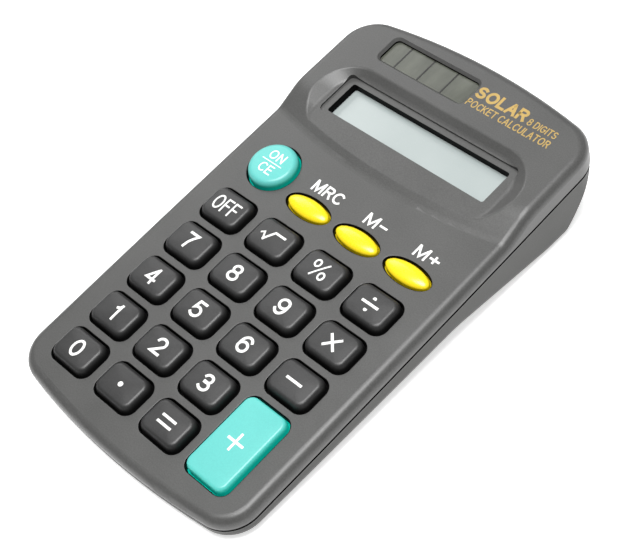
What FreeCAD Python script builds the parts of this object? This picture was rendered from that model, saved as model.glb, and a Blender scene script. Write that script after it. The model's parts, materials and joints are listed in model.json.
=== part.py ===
"""Pocket calculator: two casings, rubber keypad, display, solar cell and one AAA cell.

Every shape is drawn in the keypad frame: X across, Y from the lower end towards the display,
Z out of the flat keypad face, origin on that face at the middle of the key grid.  At the end
each piece is tipped into the resting pose, so that +Z is up and the part stands on Z = 0.
"""
import FreeCAD, Part
import math
import os

Vec = FreeCAD.Vector

# ---- casing outline ----
half_width = 35.6
lower_end = -35.1
upper_end = 86.1
lower_end_bow = 3.2
upper_end_bow = 3.9
side_bow = 0.3
lower_corner = 8.3
upper_corner = 9.0
wall = 1.6
floor_wall = 1.2

# ---- casing heights ----
seam = -3.1
seam_gap = 0.3
plateau = 2.5
ramp_foot = 47.5
ramp_radius = 165.0
ramp_run = 7.6
ramp_foot_round = 5.0
ramp_top_round = 12.0
top_edge_round = 2.2
rear_edge_round = 2.4
under_front = (-25.0, -7.0)
under_bend = (33.0, -9.5)
heel_start = 62.0
heel_round_y = 40.0
heel_round_z = -3.0
heel_curve = [(52.0, 0.0), (45.0, -11.0), (33.0, -17.0)]
rest_front = (-28.0, -7.35)
rest_heel = (66.0, -15.4)
bend_round = 40.0
lip_clear = 0.15
lip_wall = 0.8
lip_rise = 0.9
lip_root = 1.2

# ---- display and solar window ----
bed_start = 52.5
bed_end = 71.0
pod_roof = 1.8
dish_width = 60.2
dish_low = 49.4
dish_high = 70.0
dish_corner = 9.5
dish_floor = 0.8
dish_floor_corner = 6.5
dish_side_run = 3.5
dish_end_run = 2.2
dish_rim_round = 1.0
dish_floor_round = 2.5
ledge_width = 51.2
ledge_low = 55.6
ledge_high = 67.4
ledge_corner = 1.4
ledge_step = 0.45
view_width = 47.4
view_low = 56.6
view_high = 65.9
view_corner = 0.6
bed_under = -1.75
glass_gap = 0.05
lcd_border = 2.5
lcd_corner = 0.3
lcd_thick = 1.6
film_border = 1.7
film_thick = 0.2
strip_wide = 1.8
strip_inset = 0.3
foam_inset = 0.5
sun_left = -23.0
sun_right = 2.9
sun_low = 73.8
sun_high = 80.8
sun_corner = 1.3
sun_depth = 1.15
sun_rim = 0.6
sun_border = 1.0
sun_thick = 1.1
pocket_clear = 0.1

# ---- keys ----
column_pitch = 15.0
row_pitch = 11.42
web_wide = 2.6
web_deep = 2.02
hole_wide = column_pitch - web_wide
hole_deep = row_pitch - web_deep
hole_corner = 2.6
hole_round = 0.35
key_side_clear = 0.4
key_end_clear = 0.35
key_rise = 1.9
key_skirt_rise = 0.25
key_lean = 0.7
key_top_round = 0.8
flange_reach = 0.4
flange_thick = 0.8
flange_clear = 0.2
key_travel = 1.0
power_radius = 6.3
power_x = -22.4
power_y = 37.5
power_rise = 2.0
power_round = 1.3
memory_wide = 12.8
memory_deep = 5.6
memory_y = 33.8
memory_rise = 1.0
memory_round = 0.75
plus_wide = 12.6
plus_deep = 21.0
plus_x = 22.4
plus_y = -17.1
plus_corner = 2.5
plus_rise = 1.4
plus_round = 0.8

# ---- keypad sheet and board ----
dome_clear = 0.05
dome_base = 4.3
dome_top = 3.2
dome_wall = 0.4
sheet_thick = 0.5
sheet_top = -4.0
sheet_margin = 1.0
board_thick = 0.8
board_inset = 3.1
board_end = 65.2
hole_clear = 0.3

# ---- screws ----
casing_screw_spots = [(31.0, -17.13), (31.0, 29.5), (29.8, 77.0)]
board_screw_spots = [(31.0, -5.71), (31.0, 17.13), (31.0, 46.0)]
boss_radius = 1.75
post_radius = 2.3
boss_end = -4.5
post_gap = 0.1
screw_web = 1.0
screw_head = 1.7
screw_head_high = 1.0
screw_shank = 0.95
screw_long = 3.4
board_head = 1.5
board_head_high = 0.8
board_shank = 0.8
board_long = 3.3
thread_clear = 0.03
shank_clear = 0.1
head_clear = 0.2
pilot_spare = 0.3
head_round = 0.3
slot_wide = 0.35
slot_share = 1.3
slot_deep = 0.5

# ---- battery ----
cell_radius = 5.2
cell_long = 43.5
cell_nub_radius = 1.9
cell_nub_long = 0.8
cell_y = 72.0
cell_clear = 0.2
contact_thick = 0.4
contact_wide = 7.0
contact_high = 8.0
contact_back = 0.1
tab_wide = 2.0
tab_high = 2.0
leaf_wide = 4.0
leaf_reach = 1.6
leaf_low = 3.4
leaf_high = 3.0
cell_edge_round = 0.4
door_half = 24.6
door_rail = 1.0
door_thick = 1.5
door_rail_thick = 0.7
door_clear = 0.15
door_grooves = 4
groove_long = 14.0
groove_wide = 0.7
groove_deep = 0.35
groove_pitch = 1.8
groove_end = 10.0
rib_wall = 1.0

# ---- small parts ----
foot_radius = 2.6
foot_spots = [(-24.0, -28.0), (24.0, -28.0)]
chip_radius = 4.2
chip_high = 1.2
chip_spot = (0.0, 22.0)
can_radius = 2.0
can_long = 7.0
can_lift = 0.1
can_spot = (12.0, 50.0)
can_leg = 0.3
can_legs_apart = 1.8
can_leg_out = 1.0
leg_lap = 0.8
resistor_radius = 0.9
resistor_long = 4.0
resistor_leg = 0.25
resistor_leg_out = 1.0
resistor_lift = 0.2
resistor_spots = [(-14.0, 48.0), (-9.0, 48.0), (-4.0, 48.0)]

# ---- leads ----
wire_radius = 0.45
wire_inset = 3.0
wire_drop = 1.6
bend_share = 0.45
battery_run = [(3.0, -1.4, 0.5), (28.4, -4.8, 0.9), (28.4, -9.0, 0.9), (28.4, -10.4)]
solar_minus_run = [(-24.4, 72.4, -2.3), (-29.8, 68.4, -2.3), (-31.0, 63.4, -3.0), (-31.0, 62.4)]
solar_plus_run = [(8.0, 72.8, -2.3), (17.0, 71.8, -2.3), (25.6, 71.2, -2.3), (29.8, 68.4, -2.3),
                  (31.0, 63.4, -3.0), (31.0, 62.4)]

# ---- room for cutting and choosing, larger than anything it reaches across ----
far = 200.0
below = -25.0
touch = 0.01


def rest_line(y):
    """Height of the resting plane at a place along the calculator."""
    slope = (rest_heel[1] - rest_front[1]) / (rest_heel[0] - rest_front[0])
    return rest_front[1] + slope * (y - rest_front[0])


def arc(a, b, c):
    return Part.Arc(Vec(*a), Vec(*b), Vec(*c)).toShape()


def outline_block(inset, low, high):
    """Casing outline, moved inward by inset, as an upright block from low to high."""
    w = half_width - inset
    y0 = lower_end + inset
    y1 = upper_end - inset
    a = (-w + side_bow, y0 + lower_end_bow, low)
    b = (w - side_bow, y0 + lower_end_bow, low)
    c = (w - side_bow, y1 - upper_end_bow, low)
    d = (-w + side_bow, y1 - upper_end_bow, low)
    middle = (y0 + y1) / 2
    edges = [
        arc(a, (0, y0, low), b),
        arc(b, (w, middle, low), c),
        arc(c, (0, y1, low), d),
        arc(d, (-w, middle, low), a),
    ]
    block = Part.Face(Part.Wire(edges)).extrude(Vec(0, 0, high - low))
    upright = [e for e in block.Edges if abs(e.tangentAt(e.FirstParameter).z) > 0.99]
    low_pair = [e for e in upright if e.CenterOfMass.y < middle]
    block = block.makeFillet(lower_corner - inset, low_pair)
    upright = [e for e in block.Edges if abs(e.tangentAt(e.FirstParameter).z) > 0.99]
    high_pair = [e for e in upright
                 if e.CenterOfMass.y > middle and abs(e.CenterOfMass.x) > w - side_bow - touch]
    return block.makeFillet(upper_corner - inset, high_pair)


def rounded_wire(wide, deep, corner, z, x=0.0, y=0.0):
    """Closed rectangle wire with round corners, centred on x, y."""
    w = wide / 2
    d = deep / 2
    s = corner * (1 - math.sqrt(0.5))
    edges = []
    for turn in range(4):
        half_a, half_b = (w, d) if turn % 2 == 0 else (d, w)
        spin = math.radians(90 * turn)

        def place(u, v):
            return Vec(x + u * math.cos(spin) - v * math.sin(spin),
                       y + u * math.sin(spin) + v * math.cos(spin), z)
        start = place(half_a, -half_b + corner)
        end = place(half_a, half_b - corner)
        edges.append(Part.LineSegment(start, end).toShape())
        bend = place(half_a - s, half_b - s)
        edges.append(Part.Arc(end, bend, place(half_a - corner, half_b)).toShape())
    return Part.Wire(edges)


def rounded_block(wide, deep, corner, low, high, x=0.0, y=0.0):
    return Part.Face(rounded_wire(wide, deep, corner, low, x, y)).extrude(Vec(0, 0, high - low))


def ellipse_block(wide, deep, low, high, x, y):
    curve = Part.Ellipse(Vec(x, y, low), wide / 2, deep / 2)
    return Part.Face(Part.Wire(curve.toShape())).extrude(Vec(0, 0, high - low))


def box(x0, x1, y0, y1, z0, z1):
    return Part.makeBox(x1 - x0, y1 - y0, z1 - z0, Vec(x0, y0, z0))


def rod(radius, low, high, x, y):
    return Part.makeCylinder(radius, high - low, Vec(x, y, low))


def mirrored(spots):
    return [(side * x, y) for x, y in spots for side in (-1, 1)]


def top_edges(shape, level):
    """Edges that lie flat at one height."""
    return [e for e in shape.Edges
            if abs(e.BoundBox.ZMin - level) < touch and abs(e.BoundBox.ZMax - level) < touch]


# ---- where each key sits ----
def key_holes():
    """Name, kind and centre of every key."""
    rows = {
        2: ("off", "sqrt", "percent", "divide"),
        1: ("7", "8", "9", "multiply"),
        0: ("4", "5", "6", "minus"),
        -1: ("1", "2", "3"),
        -2: ("0", "point", "equals"),
    }
    keys = []
    for row, names in rows.items():
        for column, name in enumerate(names):
            x = (column - 1.5) * column_pitch
            keys.append(("key_" + name, "square", x, row * row_pitch))
    keys.append(("key_plus", "plus", plus_x, plus_y))
    keys.append(("key_on_ce", "power", power_x, power_y))
    for column, name in enumerate(("mrc", "m_minus", "m_plus")):
        keys.append(("key_" + name, "memory", (column - 0.5) * column_pitch, memory_y))
    return keys


def key_block(kind, x, y, grow_x, grow_y, low, high):
    """Upright block with the plan of one key's hole, grown or shrunk on every side."""
    if kind == "power":
        return rod(power_radius + grow_x, low, high, x, y)
    if kind == "memory":
        return ellipse_block(memory_wide + 2 * grow_x, memory_deep + 2 * grow_y, low, high, x, y)
    if kind == "plus":
        return rounded_block(plus_wide + 2 * grow_x, plus_deep + 2 * grow_y,
                             plus_corner + grow_x, low, high, x, y)
    return rounded_block(hole_wide + 2 * grow_x, hole_deep + 2 * grow_y,
                         hole_corner + grow_x, low, high, x, y)


# ---- front casing ----
def pod_block(low, high):
    """Raised display end: everything inside the arc of the ramp."""
    slope = plateau / ramp_run
    r0 = ramp_radius - low / slope
    r1 = ramp_radius - high / slope
    return Part.makeCone(r0, r1, high - low, Vec(0, ramp_foot + ramp_radius, low))


def across(shape, level):
    """Edges at one height that run right across the casing, between its two ends."""
    return [e for e in top_edges(shape, level)
            if e.Length > half_width and lower_end < e.BoundBox.YMin - half_width
            and e.BoundBox.YMax < bed_end]


def rim_edges(shape, low):
    """Edges of the shape above low whose middle lies on the upright outer wall."""
    wall_block = outline_block(0, -far, far)
    skin = outline_block(5 * touch, -far, far)
    found = []
    for edge in shape.Edges:
        if edge.BoundBox.ZMin < low:
            continue
        p = edge.valueAt((edge.FirstParameter + edge.LastParameter) / 2)
        if wall_block.isInside(p, touch, True) and not skin.isInside(p, touch, True):
            found.append(edge)
    return found


def front_outer():
    base = outline_block(0, seam + seam_gap / 2, 0)
    pod = outline_block(0, seam + seam_gap / 2, plateau).common(pod_block(-wall / 2, plateau))
    body = base.fuse(pod).removeSplitter()
    body = body.makeFillet(ramp_foot_round, across(body, 0))
    body = body.makeFillet(ramp_top_round, across(body, plateau))
    return body.makeFillet(top_edge_round, rim_edges(body, -touch))


def dish():
    """Soft recess round the display: a flat floor with sloping sides, open towards the ramp."""
    over = wall / 3
    spread = (plateau - dish_floor + over) / (plateau - dish_floor)
    side_run = dish_side_run * spread
    end_run = dish_end_run * spread
    wide = dish_width - 2 * dish_side_run
    high = dish_high - dish_end_run
    foot = rounded_wire(wide, high - dish_low, dish_floor_corner, dish_floor,
                        0, (high + dish_low) / 2)
    low = dish_low - side_run
    top = rounded_wire(wide + 2 * side_run, high + end_run - low,
                       dish_floor_corner + (dish_corner - dish_floor_corner) * spread,
                       plateau + over, 0, (high + end_run + low) / 2)
    return Part.makeLoft([foot, top], True, True)


def dish_edges(body, low, high):
    """Edges of the dish between two heights."""
    edges = []
    for edge in body.Edges:
        b = edge.BoundBox
        inside = abs(b.XMin) < half_width - wall and abs(b.XMax) < half_width - wall
        between = b.YMin > dish_low - dish_end_run and b.YMax < sun_low - sun_rim
        if inside and between and b.ZMin > low and b.ZMax < high:
            edges.append(edge)
    return edges


def on_skin(shape, edge):
    """True when the middle of an edge lies on the skin of a shape."""
    p = edge.valueAt((edge.FirstParameter + edge.LastParameter) / 2)
    return Part.Vertex(p).distToShape(shape.Shells[0])[0] < touch / 2


def casing_screw_places():
    return mirrored(casing_screw_spots)


def board_screw_places():
    return mirrored(board_screw_spots)


def hole_mouths(body):
    """Top edges of the key holes."""
    side = half_width - 2 * top_edge_round
    low = lower_end + lower_end_bow + top_edge_round
    return [e for e in top_edges(body, 0)
            if -side < e.BoundBox.XMin and e.BoundBox.XMax < side
            and e.BoundBox.YMin > low and e.BoundBox.YMax < power_y + power_radius + touch]


def front_casing():
    outer = front_outer()
    body = outer.cut(dish())
    floor_edges = [e for e in dish_edges(body, dish_floor - touch, dish_floor + touch)
                   if not on_skin(outer, e)]
    body = body.makeFillet(dish_floor_round, floor_edges)
    rim = [e for e in dish_edges(body, dish_floor - touch, plateau + touch) if on_skin(outer, e)]
    body = body.makeFillet(dish_rim_round, rim)
    view_y = (view_low + view_high) / 2
    ledge_y = (ledge_low + ledge_high) / 2
    body = body.cut(rounded_block(ledge_width, ledge_high - ledge_low, ledge_corner,
                                  dish_floor - ledge_step, plateau, 0, ledge_y))
    body = body.cut(rounded_block(view_width, view_high - view_low, view_corner,
                                  seam, plateau, 0, view_y))
    # hollow from below: keypad half, display bed, display end
    hollow = box(-far, far, -far, bed_start, -far, -wall)
    hollow = hollow.fuse(box(-far, far, bed_start, bed_end, -far, bed_under))
    hollow = hollow.fuse(box(-far, far, bed_end, far, -far, plateau - pod_roof))
    body = body.cut(outline_block(wall, seam, plateau).common(hollow))
    # solar window with its pocket behind
    sun_x = (sun_left + sun_right) / 2
    sun_y = (sun_low + sun_high) / 2
    sun_wide = sun_right - sun_left
    sun_deep = sun_high - sun_low
    body = body.cut(rounded_block(sun_wide, sun_deep, sun_corner, seam, 2 * plateau, sun_x, sun_y))
    rim_top = rounded_wire(sun_wide + 4 * sun_rim, sun_deep + 4 * sun_rim,
                           sun_corner + 2 * sun_rim, plateau + sun_rim, sun_x, sun_y)
    rim_low = rounded_wire(sun_wide, sun_deep, sun_corner, plateau - sun_rim, sun_x, sun_y)
    body = body.cut(Part.makeLoft([rim_low, rim_top], True, True))
    pocket_top = plateau - sun_depth + glass_gap
    pocket = sun_border + pocket_clear
    body = body.cut(box(sun_left - pocket, sun_right + pocket,
                        sun_low - pocket, sun_high + pocket, seam, pocket_top))
    # key holes
    for name, kind, x, y in key_holes():
        body = body.cut(key_block(kind, x, y, 0, 0, seam, plateau))
    body = body.makeFillet(hole_round, hole_mouths(body))
    # screw bosses
    inside = outline_block(wall / 2, -far, plateau - wall / 2)
    for x, y in casing_screw_places():
        boss = rod(boss_radius, boss_end, -wall / 2, x, y)
        if y > dish_high:
            boss = rod(boss_radius, boss_end, plateau - wall / 2, x, y)
        body = body.fuse(boss.common(inside))
    for x, y in board_screw_places():
        body = body.fuse(rod(boss_radius, sheet_top - sheet_thick, -wall / 2, x, y))
    seat = boss_end - post_gap - screw_web
    for x, y in casing_screw_places():
        body = body.cut(rod(screw_shank + thread_clear, boss_end - wall,
                            seat + screw_long + pilot_spare, x, y))
    bottom = sheet_top - sheet_thick
    for x, y in board_screw_places():
        body = body.cut(rod(board_shank + thread_clear, bottom - wall,
                            bottom - board_thick + board_long + pilot_spare, x, y))
    return body.removeSplitter()


# ---- rear casing and battery door ----
def underside_block(lift):
    """Everything above the casing's underside, moved up by lift."""
    front_slope = (under_bend[1] - under_front[1]) / (under_bend[0] - under_front[0])
    y0 = lower_end - half_width
    y1 = upper_end + half_width
    points = [
        (y0, under_front[1] + front_slope * (y0 - under_front[0])),
        under_bend,
        (heel_start, rest_line(heel_start)),
        (y1, rest_line(y1)),
        (y1, plateau),
        (y0, plateau),
    ]
    corners = [Vec(-far / 2, y, z + lift) for y, z in points]
    corners.append(corners[0])
    block = Part.Face(Part.makePolygon(corners)).extrude(Vec(far, 0, 0))
    bends = [e for e in block.Edges if e.Length > far - touch and e.CenterOfMass.z < seam
             and y0 + touch < e.CenterOfMass.y < y1 - touch]
    return block.makeFillet(bend_round, bends)


def heel_waste(inset):
    """What lies outside the rounded back end, with that round drawn in by inset."""
    share = 1 - inset / heel_curve[0][0]
    points = [Vec(reach * share, heel_round_y, heel_round_z + drop * share)
              for reach, drop in heel_curve]
    side = Part.Arc(*points).toShape()
    low = Vec(0, heel_round_y, points[2].z)
    high = Vec(0, heel_round_y, plateau)
    rest = Part.makePolygon([points[2], low, high, Vec(points[0].x, heel_round_y, plateau),
                             points[0]])
    face = Part.Face(Part.Wire([side] + rest.Edges))
    block = face.revolve(Vec(0, heel_round_y, 0), Vec(0, 0, 1), 360)
    return box(-far, far, heel_round_y, far, below, seam).cut(block)


def rear_outer():
    top = seam - seam_gap / 2
    body = outline_block(0, below, top).common(underside_block(0))
    edges = [e for e in rim_edges(body, -far) if e.BoundBox.ZMax < top - seam_gap]
    return body.makeFillet(rear_edge_round, edges).cut(heel_waste(0))


def tipped_box(x0, x1, y0, y1, rise0, rise1):
    """Box laid along the resting plane, with heights counted from that plane."""
    angle = math.degrees(math.atan2(rest_heel[1] - rest_front[1], rest_heel[0] - rest_front[0]))
    block = Part.makeBox(x1 - x0, (y1 - y0) / math.cos(math.radians(angle)), rise1 - rise0,
                         Vec(x0, y0, rest_line(y0)))
    block.translate(Vec(0, 0, rise0))
    block.rotate(Vec(0, y0, rest_line(y0)), Vec(1, 0, 0), angle)
    return block


def rib_y():
    """Near face of the rib between the board and the battery compartment."""
    return cell_y - cell_radius - cell_clear - rib_wall


def door_tool(grow):
    """Sliding door's plate with its side rails, grown all round by grow."""
    end = upper_end + half_width
    door_start = rib_y() + rib_wall + door_clear
    plate = tipped_box(-door_half - grow, door_half + grow, door_start - grow, end,
                       -door_thick, door_thick + grow)
    rails = tipped_box(-door_half - door_rail - grow, door_half + door_rail + grow,
                       door_start - grow, end,
                       door_thick - door_rail_thick - grow, door_thick + grow)
    return plate.fuse(rails)


def battery_door():
    door = rear_outer().common(door_tool(0))
    for count in range(door_grooves):
        y = upper_end - groove_end - count * groove_pitch
        door = door.cut(tipped_box(-groove_long / 2, groove_long / 2, y - groove_wide, y,
                                   -door_thick, groove_deep))
    return door.removeSplitter()


def contact_x():
    """Inner faces of the two battery contacts: spring side, then plate side."""
    half = (cell_long + cell_nub_long + leaf_reach) / 2
    return -half, half


def cell_z():
    """Height of the cell's axis, just clear of the door."""
    return rest_line(cell_y) + door_thick + cell_radius + cell_clear


def rear_casing():
    outer = rear_outer()
    top = seam - seam_gap / 2
    hollow = outline_block(wall, below, -below).common(underside_block(floor_wall))
    hollow = hollow.cut(heel_waste(wall))
    body = outer.cut(hollow)
    # tongue that stands inside the front casing's wall
    ring = outline_block(wall - lip_clear, top - lip_root, top)
    ring = ring.fuse(outline_block(wall + lip_clear, top - lip_root, top + lip_rise))
    ring = ring.cut(outline_block(wall + lip_clear + lip_wall, below, -below))
    body = body.fuse(ring)
    # screw posts
    for x, y in casing_screw_places():
        post = rod(post_radius, below, boss_end - post_gap, x, y).common(outer)
        body = body.fuse(post)
    # battery compartment: one rib across, and one behind each contact
    low, high = contact_x()
    near = rib_y()
    rib_top = cell_z() + cell_radius
    ribs = box(-far, far, near, near + rib_wall, below, rib_top)
    back = contact_thick + contact_back
    for start in (low - back - rib_wall, high + back):
        ribs = ribs.fuse(box(start, start + rib_wall, near, far, below,
                             cell_z() + cell_radius / 2))
    inside = outline_block(wall / 2, below, rib_top).common(outer)
    body = body.fuse(ribs.common(inside))
    # feet under the lower end
    for x, y in foot_spots:
        foot = rod(foot_radius, below, seam - wall, x, y)
        reach = 4 * foot_radius
        foot = foot.common(tipped_box(-far, far, y - reach, y + reach, 0, -below))
        body = body.fuse(foot.cut(hollow))
    # door opening, screw holes
    body = body.cut(door_tool(door_clear))
    seat = boss_end - post_gap - screw_web
    for x, y in casing_screw_places():
        body = body.cut(rod(screw_shank + shank_clear, seat - screw_web, boss_end, x, y))
        body = body.cut(rod(screw_head + head_clear, below, seat, x, y))
    return body.removeSplitter()


# ---- keys and rubber keypad ----
key_rises = {"square": key_rise, "plus": plus_rise, "power": power_rise, "memory": memory_rise}
key_rounds = {"square": key_top_round, "plus": plus_round, "power": power_round,
              "memory": memory_round}


def flange_low():
    return -wall - flange_clear - flange_thick


def key(kind, x, y):
    rise = key_rises[kind]
    base = -wall - flange_clear
    if kind == "square":
        stem = key_block(kind, x, y, -key_side_clear, -key_end_clear, base, key_skirt_rise)
        wide = hole_wide - 2 * key_side_clear
        deep = hole_deep - 2 * key_end_clear
        corner = hole_corner - key_side_clear
        skirt = rounded_wire(wide, deep, corner, key_skirt_rise, x, y)
        top = rounded_wire(wide - 2 * key_lean, deep - 2 * key_lean, corner, rise, x, y)
        stem = stem.fuse(Part.makeLoft([skirt, top], True, True)).removeSplitter()
    else:
        stem = key_block(kind, x, y, -key_side_clear, -key_side_clear, base, rise)
    stem = stem.makeFillet(key_rounds[kind], top_edges(stem, rise))
    flange = key_block(kind, x, y, flange_reach, flange_reach, flange_low(), base)
    return stem.fuse(flange).removeSplitter()


def keypad_membrane():
    """Rubber sheet with one hollow dome under every key."""
    low = sheet_top - sheet_thick
    centres = [(x, y) for name, kind, x, y in key_holes()]
    x0 = min(x for x, y in centres) - hole_wide / 2 - sheet_margin / 2
    x1 = max(x for x, y in centres) + hole_wide / 2 + sheet_margin / 2
    y0 = min(y for x, y in centres) - hole_deep / 2 - sheet_margin
    y1 = power_y + power_radius + sheet_margin
    sheet = box(x0, x1, y0, y1, low, sheet_top)
    top = flange_low() - dome_clear
    for x, y in centres:
        sheet = sheet.fuse(Part.makeCone(dome_base, dome_top, top - sheet_top, Vec(x, y, sheet_top)))
        inner_high = top - sheet_top - dome_wall
        sheet = sheet.cut(Part.makeCone(dome_base - dome_wall, dome_top - dome_wall,
                                        inner_high + sheet_thick, Vec(x, y, low)))
    for x, y in board_screw_places() + casing_screw_places():
        sheet = sheet.cut(rod(boss_radius + hole_clear, low - wall, sheet_top + wall, x, y))
    return sheet.removeSplitter()


# ---- electronics ----
def circuit_board():
    high = sheet_top - sheet_thick
    low = high - board_thick
    board = outline_block(board_inset, low, high).common(box(-far, far, -far, board_end, low, high))
    for x, y in casing_screw_places():
        board = board.cut(rod(post_radius + hole_clear, low - wall, high + wall, x, y))
    for x, y in board_screw_places():
        board = board.cut(rod(board_shank + hole_clear, low - wall, high + wall, x, y))
    return board.removeSplitter()


def glass_top():
    return bed_under - glass_gap - film_thick


def lcd_block(border, low, high):
    y = (view_low + view_high) / 2
    return rounded_block(view_width + 2 * border, view_high - view_low + 2 * border, lcd_corner,
                         low, high, 0, y)


def lcd_panel():
    return lcd_block(lcd_border, glass_top() - lcd_thick, glass_top())


def lcd_polarizer():
    return lcd_block(film_border, glass_top(), bed_under - glass_gap)


def lcd_connector():
    """Striped rubber strip that joins the glass to the board."""
    y = view_low - lcd_border + strip_wide / 2 + strip_inset
    half = view_width / 2
    return box(-half, half, y - strip_wide / 2, y + strip_wide / 2,
               sheet_top - sheet_thick, glass_top() - lcd_thick)


def lcd_support():
    """Foam strip that holds up the far edge of the glass."""
    y = board_end - foam_inset
    half = view_width / 2
    return box(-half, half, y - strip_wide, y, sheet_top - sheet_thick,
               glass_top() - lcd_thick)


def solar_panel():
    top = plateau - sun_depth
    return box(sun_left - sun_border, sun_right + sun_border, sun_low - sun_border,
               sun_high + sun_border, top - sun_thick, top)


def board_under():
    return sheet_top - sheet_thick - board_thick


def controller_chip():
    """Black resin blob over the bonded chip, a shallow cap under the board."""
    x, y = chip_spot
    ball = (chip_radius ** 2 + chip_high ** 2) / (2 * chip_high)
    cap = Part.makeSphere(ball, Vec(x, y, board_under() - chip_high + ball))
    return cap.common(box(-far, far, -far, far, below, board_under()))


def capacitor():
    """Small can lying under the board, with its two legs bent up into it."""
    x, y = can_spot
    low = board_under() - can_radius - can_lift
    leg_z = low + can_radius / 4
    can = Part.makeCylinder(can_radius, can_long, Vec(x, y, low), Vec(1, 0, 0))
    for side in (-1, 1):
        leg_y = y + side * can_legs_apart / 2
        can = can.fuse(Part.makeCylinder(can_leg, board_under() - leg_z,
                                         Vec(x - can_leg_out, leg_y, leg_z)))
        can = can.fuse(Part.makeCylinder(can_leg, 2 * can_leg_out,
                                         Vec(x - can_leg_out - can_leg * leg_lap, leg_y, leg_z),
                                         Vec(1, 0, 0)))
    return can.removeSplitter()


def resistor(x, y):
    low = board_under() - resistor_radius - resistor_lift
    half = resistor_long / 2
    body = Part.makeCylinder(resistor_radius, resistor_long, Vec(x, y - half, low), Vec(0, 1, 0))
    for side in (-1, 1):
        end = y + side * (half + resistor_leg_out)
        body = body.fuse(Part.makeCylinder(resistor_leg, resistor_leg_out + resistor_leg * leg_lap,
                                           Vec(x, y + side * half, low), Vec(0, side, 0)))
        body = body.fuse(Part.makeCylinder(resistor_leg, board_under() - low, Vec(x, end, low)))
    return body.removeSplitter()


def resistors():
    return Part.makeCompound([resistor(x, y) for x, y in resistor_spots])


# ---- battery ----
def battery_cell():
    low, high = contact_x()
    z = cell_z()
    start = high - cell_nub_long - cell_long
    can = Part.makeCylinder(cell_radius, cell_long, Vec(start, cell_y, z), Vec(1, 0, 0))
    rims = [e for e in can.Edges if abs(e.Length - 2 * math.pi * cell_radius) < touch]
    can = can.makeFillet(cell_edge_round, rims)
    nub = Part.makeCylinder(cell_nub_radius, cell_nub_long, Vec(high - cell_nub_long, cell_y, z),
                            Vec(1, 0, 0))
    return can.fuse(nub).removeSplitter()


def contact_plate(face, side):
    """Flat metal plate outside the cell's end, with a solder tab towards the board."""
    z = cell_z()
    x0 = face if side > 0 else face - contact_thick
    plate = box(x0, x0 + contact_thick, cell_y - contact_wide / 2, cell_y + contact_wide / 2,
                z - contact_high / 2, z + contact_high / 2)
    tab = box(x0, x0 + contact_thick, cell_y - tab_wide / 2, cell_y + tab_wide / 2,
              z + contact_high / 2, z + contact_high / 2 + tab_high)
    return plate.fuse(tab)


def battery_contact_plus():
    return contact_plate(contact_x()[1], 1).removeSplitter()


def battery_contact_minus():
    """Plate with a bent spring leaf that presses on the cell's flat end."""
    face = contact_x()[0]
    z = cell_z()
    plate = contact_plate(face, -1)
    t = contact_thick
    tip = leaf_reach - 2 * touch
    side = [(-t, -leaf_low), (0, -leaf_low), (tip, 0), (0, leaf_high), (-t, leaf_high),
            (-t, leaf_high - t), (tip - 1.2 * t, 0), (-t, t - leaf_low)]
    corners = [Vec(face + x, cell_y - leaf_wide / 2, z + up) for x, up in side]
    corners.append(corners[0])
    leaf = Part.Face(Part.makePolygon(corners)).extrude(Vec(0, leaf_wide, 0))
    return plate.fuse(leaf).removeSplitter()


# ---- leads ----
def lead(points):
    """Round wire along straight runs joined by tangent arcs."""
    spots = [Vec(*p) for p in points]
    edges = []
    start = spots[0]
    for before, corner, after in zip(spots, spots[1:], spots[2:]):
        back = (before - corner)
        ahead = (after - corner)
        turn = math.pi - back.getAngle(ahead)
        cut = bend_share * min(back.Length, ahead.Length)
        radius = cut / math.tan(turn / 2)
        back.normalize()
        ahead.normalize()
        enter = corner + back * cut
        leave = corner + ahead * cut
        inward = back + ahead
        inward.normalize()
        middle = corner + inward * (radius / math.cos(turn / 2) - radius)
        edges.append(Part.LineSegment(start, enter).toShape())
        edges.append(Part.Arc(enter, middle, leave).toShape())
        start = leave
    edges.append(Part.LineSegment(start, spots[-1]).toShape())
    path = Part.Wire(edges)
    heading = spots[1] - spots[0]
    ring = Part.Wire(Part.Circle(spots[0], heading, wire_radius).toShape())
    return path.makePipeShell([ring], True, False)


def leads():
    low, high = contact_x()
    board = sheet_top - sheet_thick
    tab_z = cell_z() + (contact_high + tab_high) / 2
    under_sun = plateau - sun_depth - sun_thick
    out = contact_thick + wire_radius
    found = {}
    for name, side, face in (("battery_lead_minus", -1, low), ("battery_lead_plus", 1, high)):
        x = face + side * out
        off, first, second, end = battery_run
        found[name] = lead([
            (x, cell_y, tab_z),
            (x + side * off[0], cell_y + off[1], tab_z + off[2]),
            (side * first[0], cell_y + first[1], tab_z + first[2]),
            (side * second[0], cell_y + second[1], tab_z + second[2]),
            (side * end[0], cell_y + end[1], board),
        ])
    for name, x, run in (("solar_lead_minus", sun_left + wire_inset, solar_minus_run),
                         ("solar_lead_plus", sun_right - wire_inset, solar_plus_run)):
        start = [(x, sun_low + 2 * wire_drop, under_sun),
                 (x, sun_low + wire_drop, under_sun - wire_drop)]
        found[name] = lead(start + run[:-1] + [run[-1] + (board,)])
    return found


# ---- screws ----
def screw(x, y, seat, head, head_high, shank, long):
    body = rod(head, seat - head_high, seat, x, y)
    rim = top_edges(body, seat - head_high)
    body = body.makeFillet(head_round, rim)
    slot_long = head * slot_share
    for wide, deep in ((slot_long, slot_wide), (slot_wide, slot_long)):
        body = body.cut(box(x - wide / 2, x + wide / 2, y - deep / 2, y + deep / 2,
                            seat - 2 * head_high, seat - head_high + slot_deep))
    return body.fuse(rod(shank, seat, seat + long, x, y)).removeSplitter()


def casing_screws():
    seat = boss_end - post_gap - screw_web
    return Part.makeCompound([screw(x, y, seat, screw_head, screw_head_high, screw_shank, screw_long)
                              for x, y in casing_screw_places()])


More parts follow.
